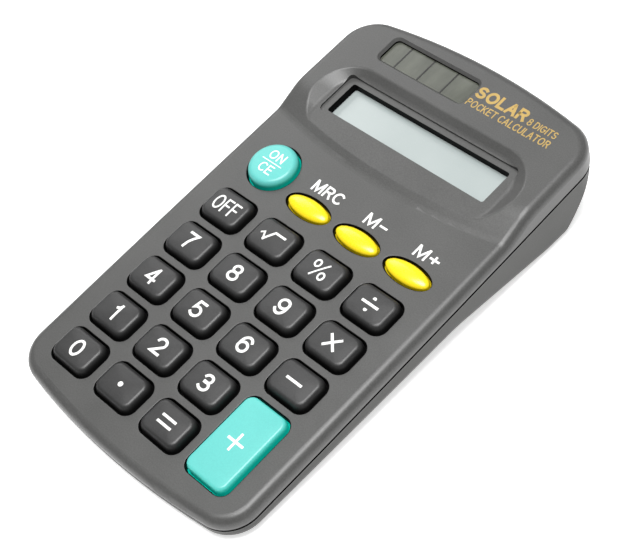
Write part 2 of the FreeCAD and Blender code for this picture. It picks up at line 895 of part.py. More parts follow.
def board_screws():
    return Part.makeCompound([screw(x, y, board_under(), board_head, board_head_high,
                                    board_shank, board_long)
                              for x, y in board_screw_places()])


# ---- all pieces, tipped into the resting pose ----
def pieces():
    made = {
        "front_casing": front_casing(),
        "rear_casing": rear_casing(),
        "battery_door": battery_door(),
        "keypad_membrane": keypad_membrane(),
        "circuit_board": circuit_board(),
        "controller_chip": controller_chip(),
        "capacitor": capacitor(),
        "resistors": resistors(),
        "lcd_panel": lcd_panel(),
        "lcd_polarizer": lcd_polarizer(),
        "lcd_connector": lcd_connector(),
        "lcd_support": lcd_support(),
        "solar_panel": solar_panel(),
        "battery_cell": battery_cell(),
        "battery_contact_plus": battery_contact_plus(),
        "battery_contact_minus": battery_contact_minus(),
        "casing_screws": casing_screws(),
        "board_screws": board_screws(),
    }
    for name, shape in leads().items():
        made[name] = shape.cut(made["circuit_board"]).cut(made["solar_panel"])
    for name, kind, x, y in key_holes():
        made[name] = key(kind, x, y)
    return made


def resting_pose():
    """Tip about X onto the resting plane, with the box's middle above the origin."""
    slope = (rest_heel[1] - rest_front[1]) / (rest_heel[0] - rest_front[0])
    turn = FreeCAD.Placement(Vec(0, 0, 0), FreeCAD.Rotation(Vec(1, 0, 0),
                                                            -math.degrees(math.atan(slope))))
    ends = [turn.multVec(Vec(0, y, z)) for y, z in
            ((lower_end, -wall), (upper_end, plateau - top_edge_round))]
    floor = turn.multVec(Vec(0, rest_front[0], rest_front[1])).z
    shift = Vec(0, -(ends[0].y + ends[1].y) / 2, -floor)
    return FreeCAD.Placement(shift, FreeCAD.Rotation()).multiply(turn)


def main():
    os.makedirs("parts", exist_ok=True)
    pose = resting_pose()
    for name, shape in pieces().items():
        shape.Placement = pose.multiply(shape.Placement)
        shape.exportStep("parts/" + name + ".step")
        print(name, len(shape.Solids), round(shape.Volume, 1))


main()
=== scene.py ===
import bpy
import bmesh
import json
import math
from mathutils import Matrix, Vector


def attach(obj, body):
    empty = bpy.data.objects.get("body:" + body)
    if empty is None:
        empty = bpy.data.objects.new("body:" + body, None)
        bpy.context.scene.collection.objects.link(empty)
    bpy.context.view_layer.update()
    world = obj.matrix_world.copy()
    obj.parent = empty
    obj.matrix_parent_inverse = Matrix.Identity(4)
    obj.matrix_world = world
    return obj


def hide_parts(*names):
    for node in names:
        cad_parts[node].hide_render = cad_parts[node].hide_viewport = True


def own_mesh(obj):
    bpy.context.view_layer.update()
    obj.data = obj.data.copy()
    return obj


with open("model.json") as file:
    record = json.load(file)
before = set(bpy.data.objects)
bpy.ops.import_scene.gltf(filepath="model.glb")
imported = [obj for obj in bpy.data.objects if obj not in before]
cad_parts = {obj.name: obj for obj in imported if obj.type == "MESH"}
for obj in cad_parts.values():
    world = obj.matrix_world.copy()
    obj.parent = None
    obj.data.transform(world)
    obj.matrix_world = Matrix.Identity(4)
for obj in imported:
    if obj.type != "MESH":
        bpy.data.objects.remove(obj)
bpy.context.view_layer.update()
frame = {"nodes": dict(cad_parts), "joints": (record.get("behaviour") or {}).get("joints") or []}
nodes = frame["nodes"]
mm = 0.001

# The keypad's own frame: X across, Y to the display, Z out of the flat keypad face, in millimetres.
# Its origin is the middle of the key grid, and the press direction of the keys gives its tilt.
keypad = {"originY": -25.462, "originZ": 9.712}
pressAxis = Vector(next(j["axis"] for j in frame["joints"] if j["name"] == "key_5_press"))
faceTilt = math.atan2(pressAxis.y, -pressAxis.z)
toFrame = (Matrix.Translation((0, keypad["originY"] * mm, keypad["originZ"] * mm))
           @ Matrix.Rotation(faceTilt, 4, "X") @ Matrix.Scale(mm, 4))
print("frame loaded, face tilt", round(math.degrees(faceTilt), 2))


# small helpers for node trees, shared by materials and geometry
def addNode(tree, kind, sockets=None, **values):
    node = tree.nodes.new(kind)
    for key, value in values.items():
        setattr(node, key, value)
    for key, value in (sockets or {}).items():
        if isinstance(value, bpy.types.NodeSocket):
            tree.links.new(value, node.inputs[key])
        else:
            node.inputs[key].default_value = value
    return node


def mathNode(tree, operation, first, second=0.0):
    return addNode(tree, "ShaderNodeMath", {0: first, 1: second}, operation=operation).outputs[0]


def addMaterial(name):
    material = bpy.data.materials.new(name)
    material.use_nodes = True
    tree = material.node_tree
    return material, tree, tree.nodes["Principled BSDF"]


# coordinates of the keypad frame in millimetres, from a piece's Object coordinates
def keypadPlace(tree):
    origin = Vector((0, keypad["originY"], keypad["originZ"]))
    shift = Matrix.Rotation(-faceTilt, 3, "X") @ -origin
    place = addNode(tree, "ShaderNodeTexCoord")
    turned = addNode(tree, "ShaderNodeMapping", {"Vector": place.outputs["Object"],
                                                 "Location": shift,
                                                 "Rotation": (-faceTilt, 0, 0),
                                                 "Scale": (1 / mm, 1 / mm, 1 / mm)})
    return turned.outputs["Vector"]


def noiseOf(tree, place, scale, detail=3.0, stretch=None):
    if stretch:
        place = addNode(tree, "ShaderNodeMapping", {"Vector": place, "Scale": stretch}).outputs[0]
    noise = addNode(tree, "ShaderNodeTexNoise", {"Vector": place, "Scale": scale, "Detail": detail,
                                                 "Roughness": 0.6})
    return noise.outputs["Fac"]


def rampOf(tree, source, stops, hard=False):
    node = addNode(tree, "ShaderNodeValToRGB", {"Fac": source})
    ramp = node.color_ramp
    ramp.interpolation = "CONSTANT" if hard else "LINEAR"
    while len(ramp.elements) < len(stops):
        ramp.elements.new(0.5)
    for element, (place, colour) in zip(ramp.elements, stops):
        element.position = place
        element.color = (*colour, 1)
    return node.outputs["Color"]


def mixOf(tree, factor, first, second, blend="MIX"):
    node = addNode(tree, "ShaderNodeMix", data_type="RGBA", blend_type=blend)
    for key, value in (("Factor", factor), ("A", first), ("B", second)):
        socket = next(s for s in node.inputs if s.name == key
                      and s.type == ("VALUE" if key == "Factor" else "RGBA"))
        if isinstance(value, bpy.types.NodeSocket):
            tree.links.new(value, socket)
        else:
            socket.default_value = value
    return next(s for s in node.outputs if s.type == "RGBA")


def rangeOf(tree, source, low, high, fromLow=0.0, fromHigh=1.0):
    return addNode(tree, "ShaderNodeMapRange", {"Value": source, "From Min": fromLow,
                                                "From Max": fromHigh, "To Min": low,
                                                "To Max": high}).outputs["Result"]


def boxMask(tree, axes, low, high):
    mask = None
    for axis in range(3):
        above = mathNode(tree, "GREATER_THAN", axes[axis], low[axis])
        under = mathNode(tree, "LESS_THAN", axes[axis], high[axis])
        both = mathNode(tree, "MULTIPLY", above, under)
        mask = both if mask is None else mathNode(tree, "MULTIPLY", mask, both)
    return mask


def tint(colour, factor):
    return tuple(min(1.0, c * factor) for c in colour)


# moulded plastic: broad cloudiness, a spark-eroded grain, and a roughness that drifts with both;
# painted-shade boxes paint black shade on inner walls, and painted shade below a height darkens the
# lower part
grainSizes = {"cloudScale": 0.07, "cloudDetail": 4.0, "fineDetail": 2.0, "cloudEnds": (0.3, 0.7),
              "speckEnds": (0.35, 0.65), "bump": 0.6, "coatRough": 0.2, "paintedShadeBlack": 0.003,
              "paintedShadeMatte": 0.6, "shine": 0.5, "paintedShadeShine": 0.02}


def mouldedPlastic(name, colour, roughness, grain=3.2, grainDeep=0.02, cloud=0.06, fleck=0.8,
                   roughSwing=0.05, coat=0.0, paintedShadeBoxes=(), paintedShadeBelow=None):
    material, tree, shader = addMaterial(name)
    place = keypadPlace(tree)
    broad = noiseOf(tree, place, grainSizes["cloudScale"], grainSizes["cloudDetail"])
    fine = noiseOf(tree, place, grain, grainSizes["fineDetail"])
    low, high = grainSizes["cloudEnds"]
    tone = rampOf(tree, broad, [(low, tint(colour, 1 - cloud)), (high, tint(colour, 1 + cloud))])
    dark, light = grainSizes["speckEnds"]
    speck = rampOf(tree, fine, [(dark, (fleck,) * 3), (light, (1, 1, 1))])
    paint = mixOf(tree, 1.0, tone, speck, "MULTIPLY")
    axes = addNode(tree, "ShaderNodeSeparateXYZ", {"Vector": place}).outputs
    matte = 0.0
    # painted shade: below a height the colour is mixed toward a darker shade and the shine is
    # lowered
    if paintedShadeBelow:
        shade, bottom, top = paintedShadeBelow
        under = rangeOf(tree, axes[2], 1.0, 0.0, bottom, top)
        paint = mixOf(tree, under, paint, (*shade, 1))
        dull = mathNode(tree, "MULTIPLY", under, grainSizes["paintedShadeMatte"])
        matte = mathNode(tree, "MAXIMUM", matte, dull)
    # painted shade: inside each box the colour is painted near black and the shine is lowered
    for nearCorner, farCorner in paintedShadeBoxes:
        mask = boxMask(tree, axes, nearCorner, farCorner)
        paint = mixOf(tree, mask, paint, (*(grainSizes["paintedShadeBlack"],) * 3, 1))
        matte = mathNode(tree, "MAXIMUM", matte, mask)
    tree.links.new(paint, shader.inputs["Base Color"])
    if paintedShadeBoxes or paintedShadeBelow:
        tree.links.new(rangeOf(tree, matte, grainSizes["shine"], grainSizes["paintedShadeShine"]),
                       shader.inputs["Specular IOR Level"])
    both = mathNode(tree, "ADD", mathNode(tree, "MULTIPLY", broad, 0.5),
                    mathNode(tree, "MULTIPLY", fine, 0.5))
    tree.links.new(rangeOf(tree, both, roughness - roughSwing, roughness + roughSwing, low, high),
                   shader.inputs["Roughness"])
    bump = addNode(tree, "ShaderNodeBump", {"Height": fine, "Strength": grainSizes["bump"],
                                            "Distance": grainDeep * mm})
    tree.links.new(bump.outputs["Normal"], shader.inputs["Normal"])
    shader.inputs["Coat Weight"].default_value = coat
    shader.inputs["Coat Roughness"].default_value = grainSizes["coatRough"]
    return material


def platedMetal(name, colour, roughness, grain=1.2, stretch=None):
    material, tree, shader = addMaterial(name)
    shader.inputs["Metallic"].default_value = 1.0
    scratch = noiseOf(tree, keypadPlace(tree), grain, 5.0, stretch)
    tree.links.new(rampOf(tree, scratch, [(0.3, tint(colour, 0.8)), (0.7, colour)]),
                   shader.inputs["Base Color"])
    tree.links.new(rangeOf(tree, scratch, roughness * 0.7, roughness * 1.3),
                   shader.inputs["Roughness"])
    bump = addNode(tree, "ShaderNodeBump", {"Height": scratch, "Strength": 0.3,
                                            "Distance": 0.01 * mm})
    tree.links.new(bump.outputs["Normal"], shader.inputs["Normal"])
    return material


def setMaterial(obj, material):
    obj.data.materials.clear()
    obj.data.materials.append(material)


# a bmesh drawn in the keypad frame becomes a finished piece that rides on a body
def meshPiece(name, shell, body, material, smooth=True):
    bmesh.ops.transform(shell, matrix=toFrame, verts=shell.verts)
    bmesh.ops.recalc_face_normals(shell, faces=shell.faces)
    mesh = bpy.data.meshes.new(name)
    shell.to_mesh(mesh)
    shell.free()
    for face in mesh.polygons:
        face.use_smooth = smooth
    obj = bpy.data.objects.new(name, mesh)
    bpy.context.scene.collection.objects.link(obj)
    setMaterial(obj, material)
    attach(obj, body)
    return obj


# a geometry node tree with named inputs, which places its result on the base mesh's points
def newGrower(name, sizes):
    tree = bpy.data.node_groups.new(name, "GeometryNodeTree")
    face = tree.interface
    face.new_socket("Geometry", in_out="INPUT", socket_type="NodeSocketGeometry")
    for label, value in sizes.items():
        kind = "NodeSocketInt" if isinstance(value, int) else "NodeSocketFloat"
        face.new_socket(label, in_out="INPUT", socket_type=kind).default_value = value
    face.new_socket("Finish", in_out="INPUT", socket_type="NodeSocketMaterial")
    face.new_socket("Geometry", in_out="OUTPUT", socket_type="NodeSocketGeometry")
    return tree, tree.nodes.new("NodeGroupInput").outputs


def endGrower(tree, inputs, shape):
    real = addNode(tree, "GeometryNodeRealizeInstances", {"Geometry": shape})
    painted = addNode(tree, "GeometryNodeSetMaterial", {"Geometry": real.outputs["Geometry"],
                                                        "Material": inputs["Finish"]})
    addNode(tree, "NodeGroupOutput", {"Geometry": painted.outputs["Geometry"]})


def vectorOf(tree, x=0.0, y=0.0, z=0.0):
    return addNode(tree, "ShaderNodeCombineXYZ", {"X": x, "Y": y, "Z": z}).outputs["Vector"]


def movedBy(tree, shape, vector):
    return addNode(tree, "GeometryNodeTransform", {"Geometry": shape,
                                                   "Translation": vector}).outputs["Geometry"]


def onPoints(tree, points, shape):
    return addNode(tree, "GeometryNodeInstanceOnPoints", {"Points": points,
                                                          "Instance": shape}).outputs["Instances"]


def joined(tree, shapes):
    node = addNode(tree, "GeometryNodeJoinGeometry")
    for shape in shapes:
        tree.links.new(shape, node.inputs["Geometry"])
    return node.outputs["Geometry"]


def growPiece(name, tree, sizes, spots, body, material, smooth=False):
    base = bpy.data.meshes.new(name + "Spots")
    base.from_pydata([tuple(s) for s in spots], [], [])
    holder = bpy.data.objects.new(name + "Spots", base)
    bpy.context.scene.collection.objects.link(holder)
    grower = holder.modifiers.new("grower", "NODES")
    grower.node_group = tree
    values = {**sizes, "Finish": material}
    for item in tree.interface.items_tree:
        if item.item_type == "SOCKET" and item.in_out == "INPUT" and item.name in values:
            grower[item.identifier] = values[item.name]
    graph = bpy.context.evaluated_depsgraph_get()
    grown = bpy.data.meshes.new_from_object(holder.evaluated_get(graph), depsgraph=graph)
    bpy.data.objects.remove(holder)
    shell = bmesh.new()
    shell.from_mesh(grown)
    bpy.data.meshes.remove(grown)
    return meshPiece(name, shell, body, material, smooth)


# finishes of the moulded pieces, and the painted shade laid on them
plastics = {
    "casing": (0.082, 0.082, 0.080), "blackKey": (0.038, 0.038, 0.038),
    "turquoise": (0.115, 0.520, 0.480), "yellow": (0.95, 0.72, 0.012),
    "white": (0.90, 0.90, 0.88), "gold": (0.46, 0.31, 0.09),
    # painted shade: black key sides below the rolled edge are darkened to near black
    "blackKeyPaintedShade": ((0.006, 0.006, 0.006), 0.5, 1.82),
    # painted light and shade: turquoise key sides below the top take a deeper, more saturated teal
    # than the top
    "turquoisePaintedSideShading": ((0.004, 0.780, 0.610), 0.1, 1.35),
    # painted shade: the walls of the display opening are painted black
    "displayPaintedShade": ((-23.75, 56.55, -9.0), (23.75, 65.95, 0.28)),
    # painted shade: the inner walls of the solar window are painted black
    "sunPaintedShade": ((-23.1, 73.7, -9.0), (3.0, 80.9, 1.85)),
    # painted shade: a band around the seam between the casings is painted black
    "seamPaintedShade": ((-60.0, -60.0, -3.45), (60.0, 120.0, -2.78)),
    # painted shade: the rounded rims and walls of the key holes are painted black
    "holePaintedShade": ((-30.5, -29.5, -1.7), (30.5, 44.5, -0.02)),
    # painted shade: the casing's wall below the seam is painted darker towards the bottom
    "wallPaintedShade": ((0.060, 0.060, 0.057), -3.8, -3.3),
}
casingPlastic = mouldedPlastic("casingPlastic", plastics["casing"], 0.38, paintedShadeBoxes=(
    plastics["displayPaintedShade"], plastics["sunPaintedShade"], plastics["seamPaintedShade"],
    plastics["holePaintedShade"]), paintedShadeBelow=plastics["wallPaintedShade"])
blackKeyPlastic = mouldedPlastic("blackKeyPlastic", plastics["blackKey"], 0.40,
                                 grainDeep=0.010, cloud=0.1, paintedShadeBelow=plastics["blackKeyPaintedShade"])
turquoisePlastic = mouldedPlastic("turquoisePlastic", plastics["turquoise"], 0.36,
                                  grainDeep=0.004, cloud=0.03, fleck=0.94, coat=0.1,
                                  paintedShadeBelow=plastics["turquoisePaintedSideShading"])
yellowPlastic = mouldedPlastic("yellowPlastic", plastics["yellow"], 0.28,
                               grainDeep=0.003, cloud=0.03, fleck=0.95, coat=0.3)
legendWhite = mouldedPlastic("legendWhite", plastics["white"], 0.5, grainDeep=0.004, fleck=0.95)
legendGold = mouldedPlastic("legendGold", plastics["gold"], 0.38, grainDeep=0.004, fleck=0.9)
print("plastics made")

# keys: a leaning skirt, a soft rolled edge and a slightly crowned top
keySizes = {
    "columnPitch": 15.0, "rowPitch": 11.42,
    "square": {"wide": 12.4, "deep": 9.4, "corner": 2.6, "sideClear": 0.4, "endClear": 0.35,
               "rise": 1.9, "shoulder": 0.25, "lean": 0.55, "edgeRound": 1.1, "crown": 0.20},
    "plus": {"wide": 12.6, "deep": 21.0, "corner": 2.5, "sideClear": 0.4, "endClear": 0.4,
             "rise": 1.4, "shoulder": 0.2, "lean": 0.3, "edgeRound": 0.75, "crown": 0.08},
    "power": {"radius": 6.3, "sideClear": 0.4, "rise": 2.0, "shoulder": 0.3, "edgeRound": 1.3,
              "crown": 0.10},
    "memory": {"wide": 12.8, "deep": 5.6, "sideClear": 0.4, "rise": 1.0, "shoulder": -0.3},
    "flangeReach": 0.4, "flangeLow": -2.6, "flangeHigh": -1.8,
    "plusPlace": (22.4, -17.1), "powerPlace": (-22.4, 37.5), "memoryY": 33.8,
    "cornerSteps": 10, "roundSteps": 7, "topSteps": 6, "domeSteps": 12, "ovalSteps": 72,
    "cornerShare": 0.75, "cornerLeast": 0.35, "flangeBevel": 0.1, "soft": 0.05, "neckHigh": 0.06,
    "crownInset": 1.6, "domeShrink": 0.85, "domePlump": 0.9,
}


def roundedRing(halfWide, halfDeep, corner, steps):
    points = []
    for quarter in range(4):
        signX = 1 if quarter in (0, 3) else -1
        signY = 1 if quarter in (0, 1) else -1
        for step in range(steps + 1):
            turn = math.radians(90 * (quarter + step / steps))
            points.append((signX * (halfWide - corner) + corner * math.cos(turn),
                           signY * (halfDeep - corner) + corner * math.sin(turn)))
    return points


def ovalRing(halfWide, halfDeep, count):
    turns = [2 * math.pi * step / count for step in range(count)]
    return [(halfWide * math.cos(turn), halfDeep * math.sin(turn)) for turn in turns]


def keyRing(kind, inset, insetEnd):
    size = keySizes[kind]
    if kind == "power":
        return ovalRing(size["radius"] - inset, size["radius"] - inset, keySizes["ovalSteps"])
    if kind == "memory":
        return ovalRing(size["wide"] / 2 - inset, size["deep"] / 2 - insetEnd,
                        keySizes["ovalSteps"])
    corner = max(size["corner"] - keySizes["cornerShare"] * inset, keySizes["cornerLeast"])
    return roundedRing(size["wide"] / 2 - inset, size["deep"] / 2 - insetEnd, corner,
                       keySizes["cornerSteps"])


# rings from the flange up to the rolled edge: inset at the sides, inset at the ends, height
def keyProfile(kind):
    size = keySizes[kind]
    side = size["sideClear"]
    end = size.get("endClear", side)
    reach = -keySizes["flangeReach"]
    low, high = keySizes["flangeLow"], keySizes["flangeHigh"]
    bevel, soft = keySizes["flangeBevel"], keySizes["soft"]
    rings = [(reach + bevel, reach + bevel, low), (reach, reach, low + bevel),
             (reach, reach, high - soft), (reach + soft, reach + soft, high),
             (side - soft, end - soft, high), (side, end, high + keySizes["neckHigh"]),
             (side, end, size["shoulder"])]
    if kind == "memory":
        return rings
    lean = size.get("lean", 0.0)
    rim = size["edgeRound"]
    rise = size["rise"] - size["crown"]
    slope = math.atan2(lean, rise - size["shoulder"])
    topInset = lean + rim * (1 - math.sin(slope)) / math.cos(slope)
    for step in range(keySizes["roundSteps"] + 1):
        turn = slope + (math.pi / 2 - slope) * step / keySizes["roundSteps"]
        inward = topInset - rim * math.cos(turn)
        rings.append((side + inward, end + inward, rise - rim + rim * math.sin(turn)))
    return rings


# how high a key's crowned top stands over its place, for its legend to lie on
def keyTop(kind, x, y):
    size = keySizes[kind]
    halfWide, halfDeep = ((size["radius"],) * 2 if kind == "power"
                          else (size["wide"] / 2, size["deep"] / 2))
    inset = keySizes["crownInset"]
    spread = min(1.0, max(abs(x) / (halfWide - inset), abs(y) / (halfDeep - inset)))
    return size["rise"] - size["crown"] * spread ** 2


def loft(shell, loops, close=True):
    for lower, upper in zip(loops, loops[1:]):
        count = len(lower)
        for i in range(count):
            shell.faces.new((lower[i], lower[(i + 1) % count], upper[(i + 1) % count], upper[i]))
    if close:
        shell.faces.new(list(reversed(loops[0])))
        shell.faces.new(loops[-1])


def keyShell(kind, x, y):
    shell = bmesh.new()
    size = keySizes[kind]
    loops = []
    for inset, insetEnd, z in keyProfile(kind):
        ring = keyRing(kind, inset, insetEnd)
        loops.append([shell.verts.new((x + u, y + v, z)) for u, v in ring])
    last = [(v.co.x - x, v.co.y - y) for v in loops[-1]]
    if kind == "memory":
        for step in range(1, keySizes["domeSteps"]):
            turn = math.radians(90 * step / keySizes["domeSteps"])
            spread = math.cos(turn) ** keySizes["domeShrink"]
            lift = math.sin(turn) ** keySizes["domePlump"]
            z = size["shoulder"] + (size["rise"] - size["shoulder"]) * lift
            loops.append([shell.verts.new((x + u * spread, y + v * spread, z)) for u, v in last])
    else:
        for step in range(1, keySizes["topSteps"] + 1):
            spread = 1 - step / (keySizes["topSteps"] + 1)
            z = size["rise"] - size["crown"] * spread ** 2
            loops.append([shell.verts.new((x + u * spread, y + v * spread, z)) for u, v in last])
    loft(shell, loops)
    return shell


def keyPlaces():
    rows = {2: ("off", "sqrt", "percent", "divide"), 1: ("7", "8", "9", "multiply"),
            0: ("4", "5", "6", "minus"), -1: ("1", "2", "3"), -2: ("0", "point", "equals")}
    places = {}
    for row, names in rows.items():
        for column, name in enumerate(names):
            places["key_" + name] = ("square", (column - 1.5) * keySizes["columnPitch"],
                                     row * keySizes["rowPitch"])
    places["key_plus"] = ("plus", *keySizes["plusPlace"])
    places["key_on_ce"] = ("power", *keySizes["powerPlace"])
    for column, name in enumerate(("mrc", "m_minus", "m_plus")):
        places["key_" + name] = ("memory", (column - 0.5) * keySizes["columnPitch"],
                                 keySizes["memoryY"])
    return places


keyFinish = {"square": (blackKeyPlastic, "key_black"), "plus": (turquoisePlastic, "key_turquoise"),
             "power": (turquoisePlastic, "key_turquoise"), "memory": (yellowPlastic, "key_yellow")}
for nodeName, (kind, x, y) in keyPlaces().items():
    finish, slotName = keyFinish[kind]
    cap = meshPiece(nodeName + "_cap", keyShell(kind, x, y), nodeName, finish)
    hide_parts(nodeName)
print("keys made")


# lettering: every sign is a few pen strokes, given by the middle line on a box one unit high
def arcLine(x, y, wide, high, start, end, steps=14):
    turns = [math.radians(start + (end - start) * i / steps) for i in range(steps + 1)]
    return [(x + wide * math.cos(t), y + high * math.sin(t)) for t in turns]


def turnedOver(strokes, wide):
    return [[(wide - x, 1 - y) for x, y in stroke] for stroke in strokes]


sixStrokes = [arcLine(0.3, 0.31, 0.3, 0.31, 0, 360, 24),
              [(0.0, 0.31)] + arcLine(0.34, 0.5, 0.34, 0.5, 180, 38)]
signs = {
    "0": [arcLine(0.3, 0.5, 0.3, 0.5, 0, 360, 28)],
    "1": [[(0.32, 0.0), (0.32, 1.0)], [(0.32, 0.97), (0.22, 0.83), (0.08, 0.77)]],
    "2": [arcLine(0.3, 0.7, 0.29, 0.3, 168, -28) + [(0.32, 0.3), (0.02, 0.0), (0.6, 0.0)]],
    "3": [arcLine(0.28, 0.75, 0.25, 0.25, 162, -90) + [(0.18, 0.5)],
          [(0.18, 0.54)] + arcLine(0.29, 0.27, 0.3, 0.27, 90, -146)],
    "4": [[(0.45, 0.0), (0.45, 1.0)], [(0.62, 0.26), (0.0, 0.26), (0.43, 1.0)]],
    "5": [[(0.55, 1.0), (0.12, 1.0)] + arcLine(0.28, 0.32, 0.31, 0.32, 138, -144)],
    "6": sixStrokes,
    "7": [[(0.0, 1.0), (0.6, 1.0), (0.42, 0.7), (0.27, 0.36), (0.2, 0.0)]],
    "8": [arcLine(0.3, 0.76, 0.25, 0.24, 0, 360, 24), arcLine(0.3, 0.27, 0.3, 0.27, 0, 360, 24)],
    "9": turnedOver(sixStrokes, 0.6),
    "A": [[(0.0, 0.0), (0.31, 1.0), (0.35, 1.0), (0.66, 0.0)], [(0.12, 0.33), (0.54, 0.33)]],
    "K": [[(0.0, 0.0), (0.0, 1.0)], [(0.56, 1.0), (0.0, 0.36)], [(0.2, 0.6), (0.6, 0.0)]],
    "P": [[(0.0, 0.0), (0.0, 1.0)] + arcLine(0.34, 0.74, 0.24, 0.26, 90, -90) + [(0.0, 0.48)]],
    "C": [arcLine(0.36, 0.5, 0.36, 0.5, 48, 312, 20)],
    "D": [[(0.0, 0.0), (0.0, 1.0)] + arcLine(0.26, 0.5, 0.36, 0.5, 90, -90) + [(0.0, 0.0)]],
    "E": [[(0.52, 1.0), (0.0, 1.0), (0.0, 0.0), (0.54, 0.0)], [(0.0, 0.53), (0.46, 0.53)]],
    "F": [[(0.0, 0.0), (0.0, 1.0), (0.52, 1.0)], [(0.0, 0.52), (0.45, 0.52)]],
    "G": [arcLine(0.36, 0.5, 0.36, 0.5, 48, 345, 20) + [(0.71, 0.46), (0.42, 0.46)]],
    "I": [[(0.0, 0.0), (0.0, 1.0)]],
    "L": [[(0.0, 1.0), (0.0, 0.0), (0.48, 0.0)]],
    "M": [[(0.0, 0.0), (0.0, 1.0)], [(0.74, 0.0), (0.74, 1.0)],
          [(0.04, 0.98), (0.37, 0.06), (0.70, 0.98)]],
    "N": [[(0.0, 0.0), (0.0, 1.0)], [(0.6, 0.0), (0.6, 1.0)], [(0.03, 0.98), (0.57, 0.02)]],
    "O": [arcLine(0.37, 0.5, 0.37, 0.5, 0, 360, 30)],
    "R": [[(0.0, 0.0), (0.0, 1.0)] + arcLine(0.34, 0.75, 0.22, 0.25, 90, -90) + [(0.0, 0.5)],
          [(0.34, 0.5), (0.56, 0.0)]],
    "S": [arcLine(0.28, 0.75, 0.26, 0.25, 35, 270) + arcLine(0.28, 0.25, 0.29, 0.25, 88, -148)],
    "T": [[(0.0, 1.0), (0.6, 1.0)], [(0.3, 1.0), (0.3, 0.0)]],
    "U": [[(0.0, 1.0)] + arcLine(0.29, 0.3, 0.29, 0.3, 180, 360) + [(0.58, 1.0)]],
    "-": [[(0.0, 0.5), (0.42, 0.5)]],
    "+": [[(0.0, 0.5), (0.56, 0.5)], [(0.28, 0.78), (0.28, 0.22)]],
    " ": [],
}
ink = {"lift": 0.012, "thick": 0.09, "layer": 0.003, "gap": 0.30, "space": 0.35, "step": 0.45}


# the strokes of a line of text, fitted to a height and a width about a middle point
def textStrokes(text, high, wide, pen, middle=(0.0, 0.0)):
    placed = []
    start = 0.0
    for letter in text:
        shape = signs[letter]
        reach = max((x for stroke in shape for x, y in stroke), default=ink["space"] - ink["gap"])
        placed += [[(start + x, y) for x, y in stroke] for stroke in shape]
        start += reach + ink["gap"]
    total = start - ink["gap"]
    scaleX = (wide - pen) / total if total else 0.0
    scaleY = high - pen
    return [[(middle[0] + (x - total / 2) * scaleX, middle[1] + (y - 0.5) * scaleY)
             for x, y in stroke] for stroke in placed]


# one stroke of a square-ended pen as a thin slab, resting on the surface that topHeight gives
def drawStroke(shell, line, pen, topHeight, level):
    closed = math.dist(line[0], line[-1]) < 1e-6
    points = [Vector(p) for p in (line[:-1] if closed else line)]
    count = len(points)
    if not closed:
        points[0] += (points[0] - points[1]).normalized() * pen / 2
        points[-1] += (points[-1] - points[-2]).normalized() * pen / 2
    left, right = [], []
    for i, point in enumerate(points):
        before = points[i - 1] if (i or closed) else None
        after = points[(i + 1) % count] if (i < count - 1 or closed) else None
        headings = [(b - a).normalized() for a, b in ((before, point), (point, after))
                    if a is not None and b is not None]
        across = sum((Vector((-h.y, h.x)) for h in headings), Vector((0, 0))).normalized()
        lean = max(0.4, across.dot(Vector((-headings[0].y, headings[0].x))))
        left.append(point + across * pen / 2 / lean)
        right.append(point - across * pen / 2 / lean)

    def corner(spot, drop):
        z = topHeight(spot.x, spot.y) + ink["lift"] + level - drop
        return shell.verts.new((spot.x, spot.y, z))
    rows = [[corner(p, d) for p in side] for side, d in
            ((left, 0), (right, 0), (right, ink["thick"]), (left, ink["thick"]))]
    spans = range(count if closed else count - 1)
    for i in spans:
        j = (i + 1) % count
        for a, b in zip(rows, rows[1:] + rows[:1]):
            shell.faces.new((a[i], b[i], b[j], a[j]))
    if not closed:
        for end in (0, count - 1):
            shell.faces.new([row[end] for row in rows])


def drawDot(shell, x, y, radius, topHeight, level):
    rings = [[shell.verts.new((x + u, y + v, topHeight(x, y) + ink["lift"] + level - drop))
              for u, v in ovalRing(radius, radius, 28)] for drop in (ink["thick"], 0)]
    loft(shell, rings)


# more points along a line, so that its slab bends with the surface
def dividedLine(line):
    points = [line[0]]
    for start, end in zip(line, line[1:]):
        parts = max(1, math.ceil(math.dist(start, end) / ink["step"]))
        points += [(start[0] + (end[0] - start[0]) * i / parts,
                    start[1] + (end[1] - start[1]) * i / parts) for i in range(1, parts + 1)]
    return points


def printPiece(name, strokes, dots, body, material, topHeight):
    shell = bmesh.new()
    for count, (line, pen) in enumerate(strokes):
        drawStroke(shell, dividedLine(line), pen, topHeight, count % 8 * ink["layer"])
    for x, y, radius in dots:
        drawDot(shell, x, y, radius, topHeight, 0)
    return meshPiece(name, shell, body, material, smooth=False)


